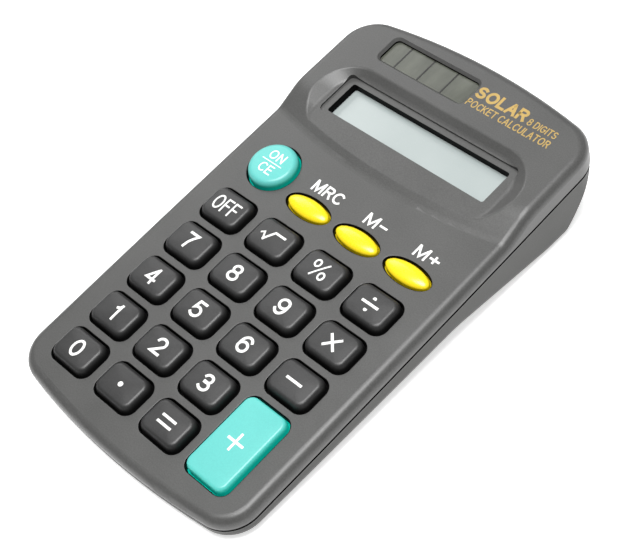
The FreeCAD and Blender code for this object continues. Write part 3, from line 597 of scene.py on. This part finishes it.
digitInk = {"high": 4.3, "wide": 3.1, "oneWide": 1.7, "pen": 0.63}
signInk = {
    "off": [("OFF", 3.9, 7.2, 0.44, (0, 0))],
    "on": [("ON", 2.5, 4.4, 0.34, (0, 2.0)), ("CE", 2.5, 4.0, 0.34, (0, -1.9))],
    "onBar": ([(-2.9, 0.05), (2.9, 0.05)], 0.22),
    "sqrt": [([(-3.0, -0.2), (-2.35, 0.25), (-1.5, -1.3)], 0.42),
             ([(-1.5, -1.35), (0.1, 1.3), (2.9, 1.3)], 0.56)],
    "percent": [([(1.35, 2.0), (-1.35, -2.0)], 0.4),
                (arcLine(-1.45, 1.1, 0.72, 0.86, 0, 360, 24), 0.44),
                (arcLine(1.45, -1.1, 0.72, 0.86, 0, 360, 24), 0.44)],
    "divide": [([(-2.0, 0), (2.0, 0)], 0.62)],
    "multiply": [([(-1.4, -1.4), (1.4, 1.4)], 0.62), ([(-1.4, 1.4), (1.4, -1.4)], 0.62)],
    "minus": [([(-1.9, 0), (1.9, 0)], 0.62)],
    "equals": [([(-1.8, 0.85), (1.8, 0.85)], 0.6), ([(-1.8, -0.85), (1.8, -0.85)], 0.6)],
    "plus": [([(-1.95, 0), (1.95, 0)], 0.6), ([(0, -1.95), (0, 1.95)], 0.6)],
    "dots": {"divide": [(0, 1.5, 0.46), (0, -1.5, 0.46)], "point": [(0, -0.1, 0.62)]},
}


def legendOf(name):
    if len(name) == 1:
        wide = digitInk["oneWide"] if name == "1" else digitInk["wide"]
        lines = textStrokes(name, digitInk["high"], wide, digitInk["pen"])
        return [(line, digitInk["pen"]) for line in lines]
    words = signInk["off"] if name == "off" else signInk["on"] if name == "on_ce" else []
    strokes = []
    for text, high, wide, pen, middle in words:
        strokes += [(line, pen) for line in textStrokes(text, high, wide, pen, middle)]
    if name == "on_ce":
        strokes.append(signInk["onBar"])
    return strokes + (signInk[name] if name in signInk and not words else [])


for nodeName, (kind, x, y) in keyPlaces().items():
    name = nodeName[4:]
    if kind == "memory":
        continue
    strokes = [([(x + u, y + v) for u, v in line], pen) for line, pen in legendOf(name)]
    dots = [(x + u, y + v, radius) for u, v, radius in signInk["dots"].get(name, [])]
    printPiece(nodeName + "_legend", strokes, dots, nodeName, legendWhite,
               lambda u, v, k=kind, cx=x, cy=y: keyTop(k, u - cx, v - cy))

# words printed on the casing: white beside the memory keys, gold beside the solar window
casingInk = {
    "memory": [("MRC", 3.1, 8.6, 0.52, (-6.8, 39.6)), ("M-", 3.1, 6.2, 0.52, (8.2, 39.6)),
               ("M+", 3.1, 6.6, 0.52, (23.2, 39.6))],
    "gold": [("SOLAR", 3.3, 14.2, 0.72, (10.9, 78.7)), ("8 DIGITS", 1.9, 8.0, 0.26, (22.9, 78.0)),
             ("POCKET CALCULATOR", 2.0, 23.4, 0.28, (15.3, 75.2))],
    "faceHigh": 0.0, "plateauHigh": 2.5,
}
for pieceName, words, material, high in (
        ("memory_labels", casingInk["memory"], legendWhite, casingInk["faceHigh"]),
        ("panel_labels", casingInk["gold"], legendGold, casingInk["plateauHigh"])):
    strokes = []
    for text, tall, wide, pen, middle in words:
        strokes += [(line, pen) for line in textStrokes(text, tall, wide, pen, middle)]
    printPiece(pieceName, strokes, [], "casing", material, lambda u, v, z=high: z)
print("lettering made")

# rubber keypad: one sheet with a round opening under every key, and a hollow dome on each
rubber = {"sheetLow": -4.5, "sheetHigh": -4.0, "halfWide": 28.9, "low": -28.54, "high": 44.8,
          "domeBase": 4.3, "domeTop": 3.2, "domeHigh": 1.35, "wall": 0.4, "travel": 1.0,
          "pillRadius": 1.7, "pillHigh": 0.35, "segments": 40, "openRadius": 3.85,
          "footOut": 0.15, "footHigh": 0.12, "bellHeights": (0.5, 0.9, 1.15), "lipHigh": 1.28,
          "lipIn": 0.12, "rimIn": 0.35, "flatRadius": 0.9, "tip": 0.01, "ceilingIn": 0.1,
          "ceilingOut": 0.15, "ceilingDrop": 0.2, "weld": 0.03, "drill": 4.0}
sheetSizes = {"Wide": 2 * rubber["halfWide"], "Long": rubber["high"] - rubber["low"],
              "Thick": rubber["sheetHigh"] - rubber["sheetLow"],
              "Middle": (rubber["high"] + rubber["low"]) / 2,
              "Level": (rubber["sheetHigh"] + rubber["sheetLow"]) / 2,
              "Opening": rubber["openRadius"]}


def sheetGrower():
    tree, inputs = newGrower("keypadSheet", sheetSizes)
    block = addNode(tree, "GeometryNodeMeshCube",
                    {"Size": vectorOf(tree, inputs["Wide"], inputs["Long"], inputs["Thick"])})
    plate = movedBy(tree, block.outputs["Mesh"],
                    vectorOf(tree, 0.0, inputs["Middle"], inputs["Level"]))
    drill = addNode(tree, "GeometryNodeMeshCylinder",
                    {"Vertices": rubber["segments"], "Radius": inputs["Opening"],
                     "Depth": rubber["drill"]})
    holes = addNode(tree, "GeometryNodeRealizeInstances",
                    {"Geometry": onPoints(tree, inputs["Geometry"], drill.outputs["Mesh"])})
    cut = addNode(tree, "GeometryNodeMeshBoolean", operation="DIFFERENCE")
    tree.links.new(plate, cut.inputs["Mesh 1"])
    tree.links.new(holes.outputs["Geometry"], cut.inputs["Mesh 2"])
    endGrower(tree, inputs, cut.outputs["Mesh"])
    return tree


def domeShell(x, y):
    size = rubber
    slope = (size["domeBase"] - size["domeTop"]) / size["domeHigh"]
    inner = size["domeHigh"] - size["wall"]
    profile = [(size["domeBase"] + size["footOut"], 0.0), (size["domeBase"], size["footHigh"])]
    profile += [(size["domeBase"] - slope * z, z) for z in size["bellHeights"]]
    profile += [(size["domeTop"] - size["lipIn"], size["lipHigh"]),
                (size["domeTop"] - size["rimIn"], size["domeHigh"]),
                (size["flatRadius"], size["domeHigh"]), (size["tip"], size["domeHigh"])]
    ceiling = size["domeTop"] - size["wall"]
    under = [(size["tip"], inner - size["pillHigh"]),
             (size["pillRadius"], inner - size["pillHigh"]), (size["pillRadius"], inner),
             (ceiling - size["ceilingIn"], inner),
             (ceiling + size["ceilingOut"], inner - size["ceilingDrop"]),
             (size["domeBase"] - size["wall"], 0.0)]
    shell = bmesh.new()
    rings = []
    for radius, z in profile + under:
        rings.append([shell.verts.new((x + u, y + v, size["sheetHigh"] + z))
                      for u, v in ovalRing(radius, radius, size["segments"])])
    loft(shell, rings, close=False)
    loft(shell, [rings[-1], rings[0]], close=False)
    bmesh.ops.remove_doubles(shell, verts=shell.verts, dist=size["weld"])
    return shell


def siliconeRubber():
    material, tree, shader = addMaterial("keypadRubber")
    mottle = noiseOf(tree, keypadPlace(tree), 0.6, 4.0)
    tree.links.new(rampOf(tree, mottle, [(0.3, (0.50, 0.50, 0.47)), (0.7, (0.60, 0.60, 0.57))]),
                   shader.inputs["Base Color"])
    tree.links.new(rangeOf(tree, mottle, 0.55, 0.7), shader.inputs["Roughness"])
    shader.inputs["Subsurface Weight"].default_value = 0.15
    shader.inputs["Subsurface Scale"].default_value = 0.001
    bump = addNode(tree, "ShaderNodeBump", {"Height": noiseOf(tree, keypadPlace(tree), 5.0),
                                            "Strength": 0.4, "Distance": 0.01 * mm})
    tree.links.new(bump.outputs["Normal"], shader.inputs["Normal"])
    return material


keypadRubber = siliconeRubber()
domeSpots = [(x, y, rubber["sheetHigh"]) for kind, x, y in keyPlaces().values()]
sheet = growPiece("keypad_sheet", sheetGrower(), sheetSizes, domeSpots, "casing", keypadRubber)
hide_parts("keypad_membrane")
for nodeName, (kind, x, y) in keyPlaces().items():
    dome = meshPiece(nodeName + "_dome", domeShell(x, y), "casing", keypadRubber)
    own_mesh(dome)
print("rubber keypad made")

# screws: tapered cheese head with a cross recess, and a shank with a coarse thread
screwSizes = {
    "casing": {"Head Radius": 1.7, "Head High": 1.0, "Shank Radius": 0.72, "Shank Long": 3.4,
               "Thread Radius": 0.80, "Turns": 4.2, "Recess Wide": 0.35, "Recess Long": 2.2,
               "Recess Deep": 0.55},
    "board": {"Head Radius": 1.5, "Head High": 0.8, "Shank Radius": 0.6, "Shank Long": 3.3,
              "Thread Radius": 0.67, "Turns": 4.2, "Recess Wide": 0.32, "Recess Long": 1.95,
              "Recess Deep": 0.45},
    "casingSpots": [(31.0, -17.13), (31.0, 29.5), (29.8, 77.0)], "casingSeat": -5.6,
    "boardSpots": [(31.0, -5.71), (31.0, 17.13), (31.0, 46.0)], "boardSeat": -5.3,
}

screwShape = {"headSides": 36, "headTaper": 0.84, "shankSides": 24, "threadSteps": 24,
              "threadShare": 0.88, "threadStart": 0.15, "ridgeSides": 6, "ridgeRadius": 0.12}


def screwGrower():
    tree, inputs = newGrower("crossScrew", screwSizes["casing"])
    narrow = mathNode(tree, "MULTIPLY", inputs["Head Radius"], screwShape["headTaper"])
    head = addNode(tree, "GeometryNodeMeshCone",
                   {"Vertices": screwShape["headSides"], "Side Segments": 2,
                    "Radius Top": inputs["Head Radius"], "Radius Bottom": narrow,
                    "Depth": inputs["Head High"]})
    under = mathNode(tree, "MULTIPLY", inputs["Head High"], -1.0)
    headPlaced = movedBy(tree, head.outputs["Mesh"], vectorOf(tree, 0.0, 0.0, under))
    bars = []
    for wide, deep in (("Recess Long", "Recess Wide"), ("Recess Wide", "Recess Long")):
        bar = addNode(tree, "GeometryNodeMeshCube",
                      {"Size": vectorOf(tree, inputs[wide], inputs[deep],
                                        mathNode(tree, "MULTIPLY", inputs["Recess Deep"], 2.0))})
        bars.append(movedBy(tree, bar.outputs["Mesh"], vectorOf(tree, 0.0, 0.0, under)))
    cut = addNode(tree, "GeometryNodeMeshBoolean", operation="DIFFERENCE")
    tree.links.new(headPlaced, cut.inputs["Mesh 1"])
    for bar in bars:
        tree.links.new(bar, cut.inputs["Mesh 2"])
    shank = addNode(tree, "GeometryNodeMeshCylinder", {"Vertices": screwShape["shankSides"],
                                                       "Radius": inputs["Shank Radius"],
                                                       "Depth": inputs["Shank Long"]})
    half = mathNode(tree, "MULTIPLY", inputs["Shank Long"], 0.5)
    shankPlaced = movedBy(tree, shank.outputs["Mesh"], vectorOf(tree, 0.0, 0.0, half))
    threadLong = mathNode(tree, "MULTIPLY", inputs["Shank Long"], screwShape["threadShare"])
    helix = addNode(tree, "GeometryNodeCurveSpiral",
                    {"Resolution": screwShape["threadSteps"], "Rotations": inputs["Turns"],
                     "Start Radius": inputs["Thread Radius"], "End Radius": inputs["Thread Radius"],
                     "Height": threadLong})
    ridge = addNode(tree, "GeometryNodeCurvePrimitiveCircle",
                    {"Resolution": screwShape["ridgeSides"], "Radius": screwShape["ridgeRadius"]})
    thread = addNode(tree, "GeometryNodeCurveToMesh",
                     {"Curve": helix.outputs["Curve"], "Profile Curve": ridge.outputs["Curve"],
                      "Fill Caps": True})
    threadPlaced = movedBy(tree, thread.outputs["Mesh"],
                           vectorOf(tree, 0.0, 0.0, screwShape["threadStart"]))
    whole = joined(tree, [cut.outputs["Mesh"], shankPlaced, threadPlaced])
    endGrower(tree, inputs, onPoints(tree, inputs["Geometry"], whole))
    return tree


screwSteel = platedMetal("screwSteel", (0.62, 0.62, 0.60), 0.32, 2.5)
crossScrew = screwGrower()
for family in ("casing", "board"):
    seat = screwSizes[family + "Seat"]
    spots = [(side * x, y, seat) for x, y in screwSizes[family + "Spots"] for side in (-1, 1)]
    row = growPiece(family + "_screw_set", crossScrew, screwSizes[family], spots, "casing",
                    screwSteel)
    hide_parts(family + "_screws")
print("screws made")


# ribs: a row of plain bars from each point of the base, for dividers, fingers and stripes
def ribGrower():
    tree, inputs = newGrower("barRow", {"Count": 3, "Pitch": 1.0, "Wide": 0.2, "Long": 5.0,
                                        "High": 0.1})
    bar = addNode(tree, "GeometryNodeMeshCube",
                  {"Size": vectorOf(tree, inputs["Wide"], inputs["Long"], inputs["High"])})
    line = addNode(tree, "GeometryNodeMeshLine", {"Count": inputs["Count"],
                                                  "Offset": vectorOf(tree, inputs["Pitch"])})
    row = onPoints(tree, line.outputs["Mesh"], bar.outputs["Mesh"])
    endGrower(tree, inputs, onPoints(tree, inputs["Geometry"], row))
    return tree


barRow = ribGrower()
sun = {"low": 73.8, "high": 80.8, "top": 1.35, "border": 1.0,
       "dividerPitch": 7.15, "firstDivider": -18.4, "dividerWide": 0.38, "proud": 0.06,
       "sheen": [(0.0, 0.75), (0.35, 1.05), (1.0, 0.85)]}


def printedBlack():
    material, tree, shader = addMaterial("printedBlack")
    grain = noiseOf(tree, keypadPlace(tree), 4.0, 3.0)
    tones = [(0.3, (0.010, 0.010, 0.010)), (0.7, (0.018, 0.017, 0.016))]
    tree.links.new(rampOf(tree, grain, tones), shader.inputs["Base Color"])
    tree.links.new(rangeOf(tree, grain, 0.3, 0.45), shader.inputs["Roughness"])
    return material


# thin-film cells under glass: greenish brown with random cloud, and a painted sheen across each
# cell
def solarGlass():
    material, tree, shader = addMaterial("solarGlass")
    place = keypadPlace(tree)
    axes = addNode(tree, "ShaderNodeSeparateXYZ", {"Vector": place}).outputs
    cells = addNode(tree, "ShaderNodeMath", {0: mathNode(tree, "SUBTRACT", axes[0],
                                                         sun["firstDivider"]),
                                             1: sun["dividerPitch"]}, operation="WRAP")
    cells.inputs[2].default_value = 0.0
    cloud = noiseOf(tree, place, 0.35, 4.0, (1.0, 0.35, 1.0))
    base = rampOf(tree, cloud, [(0.3, (0.062, 0.067, 0.052)), (0.7, (0.094, 0.100, 0.080))])
    # painted sheen: within each cell the colour is lightest a third of the way across and darker at
    # both ends
    sheen = rampOf(tree, rangeOf(tree, cells.outputs[0], 0.0, 1.0, 0.0, sun["dividerPitch"]),
                   [(at, (share,) * 3) for at, share in sun["sheen"]])
    tree.links.new(mixOf(tree, 1.0, base, sheen, "MULTIPLY"), shader.inputs["Base Color"])
    tree.links.new(rangeOf(tree, cloud, 0.26, 0.38), shader.inputs["Roughness"])
    shader.inputs["Coat Weight"].default_value = 0.15
    shader.inputs["Coat Roughness"].default_value = 0.05
    return material


inkBlack = printedBlack()
setMaterial(nodes["solar_panel"], solarGlass())
middleY = (sun["low"] + sun["high"]) / 2
growPiece("solar_dividers", barRow,
          {"Count": 3, "Pitch": sun["dividerPitch"], "Wide": sun["dividerWide"],
           "Long": sun["high"] - sun["low"] + 1.6 * sun["border"], "High": 2 * sun["proud"]},
          [(sun["firstDivider"], middleY, sun["top"])], "casing", inkBlack)
print("solar panel made")

# display: film over the glass, the striped rubber strip and the foam strip
strip = {"y": 55.3, "low": -4.5, "high": -3.6, "count": 94, "pitch": 0.5,
         "wide": 0.22, "deep": 1.86}
window = {"low": 56.6, "high": 65.9}


def displayFilm():
    material, tree, shader = addMaterial("displayFilm")
    place = keypadPlace(tree)
    axes = addNode(tree, "ShaderNodeSeparateXYZ", {"Vector": place}).outputs
    cloud = noiseOf(tree, place, 0.05, 3.0)
    base = rampOf(tree, cloud, [(0.3, (0.362, 0.407, 0.401)), (0.7, (0.397, 0.441, 0.434))])
    # painted shadow: the film is darkened towards the top of the window, where the opening's wall
    # shades it
    paintedWallShadow = rampOf(tree, rangeOf(tree, axes[1], 0.0, 1.0, window["low"], window["high"]),
                     [(0.0, (1.0, 1.0, 1.0)), (0.8, (0.97, 0.97, 0.97)), (1.0, (0.86, 0.87, 0.87))])
    tree.links.new(mixOf(tree, 1.0, base, paintedWallShadow, "MULTIPLY"), shader.inputs["Base Color"])
    tree.links.new(rangeOf(tree, noiseOf(tree, place, 6.0, 2.0), 0.22, 0.30),
                   shader.inputs["Roughness"])
    shader.inputs["Coat Weight"].default_value = 0.3
    shader.inputs["Coat Roughness"].default_value = 0.08
    return material


def displayGlass():
    material, tree, shader = addMaterial("displayGlass")
    smear = noiseOf(tree, keypadPlace(tree), 0.2, 3.0)
    tree.links.new(rampOf(tree, smear, [(0.3, (0.50, 0.58, 0.54)), (0.7, (0.60, 0.68, 0.64))]),
                   shader.inputs["Base Color"])
    tree.links.new(rangeOf(tree, smear, 0.04, 0.1), shader.inputs["Roughness"])
    return material


def roughSoft(name, first, second, roughness, scale, deep):
    material, tree, shader = addMaterial(name)
    pores = noiseOf(tree, keypadPlace(tree), scale, 5.0)
    tree.links.new(rampOf(tree, pores, [(0.35, first), (0.65, second)]),
                   shader.inputs["Base Color"])
    tree.links.new(rangeOf(tree, pores, roughness - 0.08, roughness + 0.08),
                   shader.inputs["Roughness"])
    bump = addNode(tree, "ShaderNodeBump", {"Height": pores, "Strength": 0.8,
                                            "Distance": deep * mm})
    tree.links.new(bump.outputs["Normal"], shader.inputs["Normal"])
    return material


setMaterial(nodes["lcd_polarizer"], displayFilm())
setMaterial(nodes["lcd_panel"], displayGlass())
setMaterial(nodes["lcd_connector"], roughSoft("connectorRubber", (0.62, 0.32, 0.40),
                                              (0.74, 0.42, 0.50), 0.6, 3.0, 0.02))
setMaterial(nodes["lcd_support"], roughSoft("foamStrip", (0.02, 0.02, 0.02),
                                            (0.07, 0.07, 0.07), 0.9, 4.0, 0.2))
growPiece("connector_stripes", barRow,
          {"Count": strip["count"], "Pitch": strip["pitch"], "Wide": strip["wide"],
           "Long": strip["deep"], "High": strip["high"] - strip["low"] - 0.02},
          [(-(strip["count"] - 1) * strip["pitch"] / 2, strip["y"],
            (strip["high"] + strip["low"]) / 2)], "casing", inkBlack)
print("display made")


# circuit board: brown laminate with carbon fingers under every dome
def boardLaminate():
    material, tree, shader = addMaterial("boardLaminate")
    place = keypadPlace(tree)
    fibre = noiseOf(tree, place, 0.8, 6.0, (1.0, 0.15, 1.0))
    base = rampOf(tree, fibre, [(0.3, (0.36, 0.24, 0.09)), (0.7, (0.48, 0.34, 0.14))])
    mask = addNode(tree, "ShaderNodeTexWave", {"Vector": place, "Scale": 0.28, "Distortion": 9.0,
                                               "Detail": 1.0, "Detail Scale": 0.35},
                   wave_type="BANDS")
    tracks = rangeOf(tree, mask.outputs["Fac"], 0.0, 1.0, 0.80, 0.84)
    paint = mixOf(tree, tracks, base, (0.20, 0.28, 0.08, 1))
    tree.links.new(paint, shader.inputs["Base Color"])
    tree.links.new(rangeOf(tree, fibre, 0.35, 0.5), shader.inputs["Roughness"])
    bump = addNode(tree, "ShaderNodeBump", {"Height": tracks, "Strength": 0.5,
                                            "Distance": 0.03 * mm})
    tree.links.new(bump.outputs["Normal"], shader.inputs["Normal"])
    return material


fingers = {"count": 7, "pitch": 0.72, "wide": 0.36, "long": 4.4, "high": 0.04, "level": -4.5}
setMaterial(nodes["circuit_board"], boardLaminate())
growPiece("carbon_fingers", barRow,
          {"Count": fingers["count"], "Pitch": fingers["pitch"], "Wide": fingers["wide"],
           "Long": fingers["long"], "High": fingers["high"]},
          [(x - (fingers["count"] - 1) * fingers["pitch"] / 2, y, fingers["level"])
           for kind, x, y in keyPlaces().values()], "casing", inkBlack)


# bands of colour along one axis of a piece, such as a cell's label or a resistor's rings
def banded(name, axis, bands, low, high, roughness, coat=0.0, metal=()):
    material, tree, shader = addMaterial(name)
    place = keypadPlace(tree)
    axes = addNode(tree, "ShaderNodeSeparateXYZ", {"Vector": place}).outputs
    along = rangeOf(tree, axes[axis], 0.0, 1.0, low, high)
    speckle = rampOf(tree, noiseOf(tree, place, 1.5, 4.0), [(0.3, (0.86,) * 3), (0.7, (1, 1, 1))])
    span = high - low
    stops = [((at - low) / span, colour) for at, colour in bands]
    paint = mixOf(tree, 1.0, rampOf(tree, along, stops, hard=True), speckle, "MULTIPLY")
    tree.links.new(paint, shader.inputs["Base Color"])
    smear = noiseOf(tree, place, 0.9, 4.0)
    tree.links.new(rangeOf(tree, smear, roughness - 0.06, roughness + 0.06),
                   shader.inputs["Roughness"])
    if metal:
        stops = [((at - low) / span, (share,) * 3) for at, share in metal]
        tree.links.new(rampOf(tree, along, stops, hard=True), shader.inputs["Metallic"])
    shader.inputs["Coat Weight"].default_value = coat
    return material


tin = (0.62, 0.62, 0.60)
setMaterial(nodes["capacitor"], banded("capacitorSleeve", 0, [
    (8.0, tin), (12.0, (0.02, 0.04, 0.16)), (12.5, (0.03, 0.06, 0.24)), (18.4, (0.02, 0.04, 0.16))],
    8.0, 20.0, 0.35, 0.3, [(8.0, 1.0), (12.0, 0.0)]))
setMaterial(nodes["resistors"], banded("resistorCoat", 1, [
    (44.0, tin), (46.0, (0.66, 0.50, 0.28)), (46.6, (0.30, 0.12, 0.04)), (47.0, (0.66, 0.50, 0.28)),
    (47.5, (0.02, 0.02, 0.02)), (47.9, (0.66, 0.50, 0.28)), (48.4, (0.75, 0.22, 0.03)),
    (48.8, (0.66, 0.50, 0.28)), (49.3, (0.60, 0.42, 0.10)), (49.7, (0.66, 0.50, 0.28)),
    (50.0, tin)], 44.0, 52.0, 0.4, 0.2, [(44.0, 1.0), (46.0, 0.0), (50.0, 1.0)]))
setMaterial(nodes["battery_cell"], banded("cellLabel", 0, [
    (-24.0, tin), (-22.7, (0.03, 0.035, 0.04)), (6.0, (0.60, 0.30, 0.10)), (21.0, tin)],
    -24.0, 25.0, 0.3, 0.4, [(-24.0, 1.0), (-22.7, 0.0), (6.0, 0.6), (21.0, 1.0)]))
setMaterial(nodes["controller_chip"], roughSoft("chipResin", (0.012, 0.012, 0.012),
                                                (0.025, 0.024, 0.023), 0.22, 0.8, 0.02))
springSteel = platedMetal("springSteel", (0.74, 0.73, 0.70), 0.22, 1.0, (1.0, 1.0, 0.1))
for name in ("battery_contact_plus", "battery_contact_minus"):
    setMaterial(nodes[name], springSteel)
redSheath = mouldedPlastic("redSheath", (0.55, 0.02, 0.02), 0.45, grainDeep=0.006)
blackSheath = mouldedPlastic("blackSheath", (0.02, 0.02, 0.02), 0.45, grainDeep=0.006)
for name, sheath in (("battery_lead_plus", redSheath), ("solar_lead_plus", redSheath),
                     ("battery_lead_minus", blackSheath), ("solar_lead_minus", blackSheath)):
    setMaterial(nodes[name], sheath)
for name in ("front_casing", "rear_casing", "battery_door"):
    setMaterial(nodes[name], casingPlastic)
print("inside finished")

# camera
view = {"azimuth": 63.563, "elevation": 52.595, "roll": -23.254, "distance": 320.55,
        "aimX": 6.35, "aimY": 20.38, "lens": 87.5}


def placeCamera():
    a, e, r = (math.radians(view[k]) for k in ("azimuth", "elevation", "roll"))
    back = Vector((math.sin(a) * math.cos(e), -math.cos(a) * math.cos(e), math.sin(e)))
    right = Vector((math.cos(a), math.sin(a), 0))
    up = back.cross(right)
    turnedRight = right * math.cos(r) + up * math.sin(r)
    turnedUp = up * math.cos(r) - right * math.sin(r)
    spot = Vector((view["aimX"], view["aimY"], 0)) + back * view["distance"]
    turn = Matrix((turnedRight, turnedUp, back)).transposed().to_4x4()
    where, facing, _ = (toFrame @ Matrix.Translation(spot) @ turn).decompose()
    lens = bpy.data.cameras.new("mainCamera")
    lens.lens = view["lens"]
    lens.sensor_width = 36
    lens.clip_start = 0.01
    camera = bpy.data.objects.new("mainCamera", lens)
    camera.location = where
    camera.rotation_mode = "QUATERNION"
    camera.rotation_quaternion = facing
    bpy.context.scene.collection.objects.link(camera)
    bpy.context.scene.camera = camera


placeCamera()

# pale floor, a broad lamp overhead and a weak one from behind
studio = {"floorSize": 6.0, "floorDrop": 0.0001, "floorRough": 0.7, "floorGrain": 40,
          "floorTones": (0.88, 0.9), "worldStrength": 0.18, "floorGlow": 0.62,
          "lamps": [("overheadLamp", (0.06, -0.02, 0.85), 0.5, 10.5),
                    ("backLamp", (-0.60, 0.30, 0.50), 0.4, 1.5)]}


def placeStudio():
    bpy.context.scene.view_settings.view_transform = "Standard"
    world = bpy.data.worlds.new("studioWorld")
    world.use_nodes = True
    sky = world.node_tree.nodes["Background"].inputs
    sky["Color"].default_value = (1, 1, 1, 1)
    sky["Strength"].default_value = studio["worldStrength"]
    bpy.context.scene.world = world
    material, tree, shader = addMaterial("paleFloor")
    place = addNode(tree, "ShaderNodeTexCoord").outputs["Object"]
    dark, light = studio["floorTones"]
    mottle = noiseOf(tree, place, studio["floorGrain"], 3.0)
    tree.links.new(rampOf(tree, mottle, [(0.3, (dark,) * 3), (0.7, (light,) * 3)]),
                   shader.inputs["Base Color"])
    shader.inputs["Roughness"].default_value = studio["floorRough"]
    shader.inputs["Emission Color"].default_value = (1, 1, 1, 1)
    shader.inputs["Emission Strength"].default_value = studio["floorGlow"]
    half = studio["floorSize"] / 2
    mesh = bpy.data.meshes.new("floor")
    corners = [(-half, -half), (half, -half), (half, half), (-half, half)]
    mesh.from_pydata([(x, y, -studio["floorDrop"]) for x, y in corners], [], [(0, 1, 2, 3)])
    floor = bpy.data.objects.new("floor", mesh)
    bpy.context.scene.collection.objects.link(floor)
    setMaterial(floor, material)
    for name, spot, size, power in studio["lamps"]:
        lamp = bpy.data.lights.new(name, "AREA")
        lamp.size = size
        lamp.energy = power
        holder = bpy.data.objects.new(name, lamp)
        holder.location = spot
        holder.rotation_euler = (-Vector(spot)).to_track_quat("-Z", "Y").to_euler()
        bpy.context.scene.collection.objects.link(holder)


placeStudio()
print("camera and studio placed")
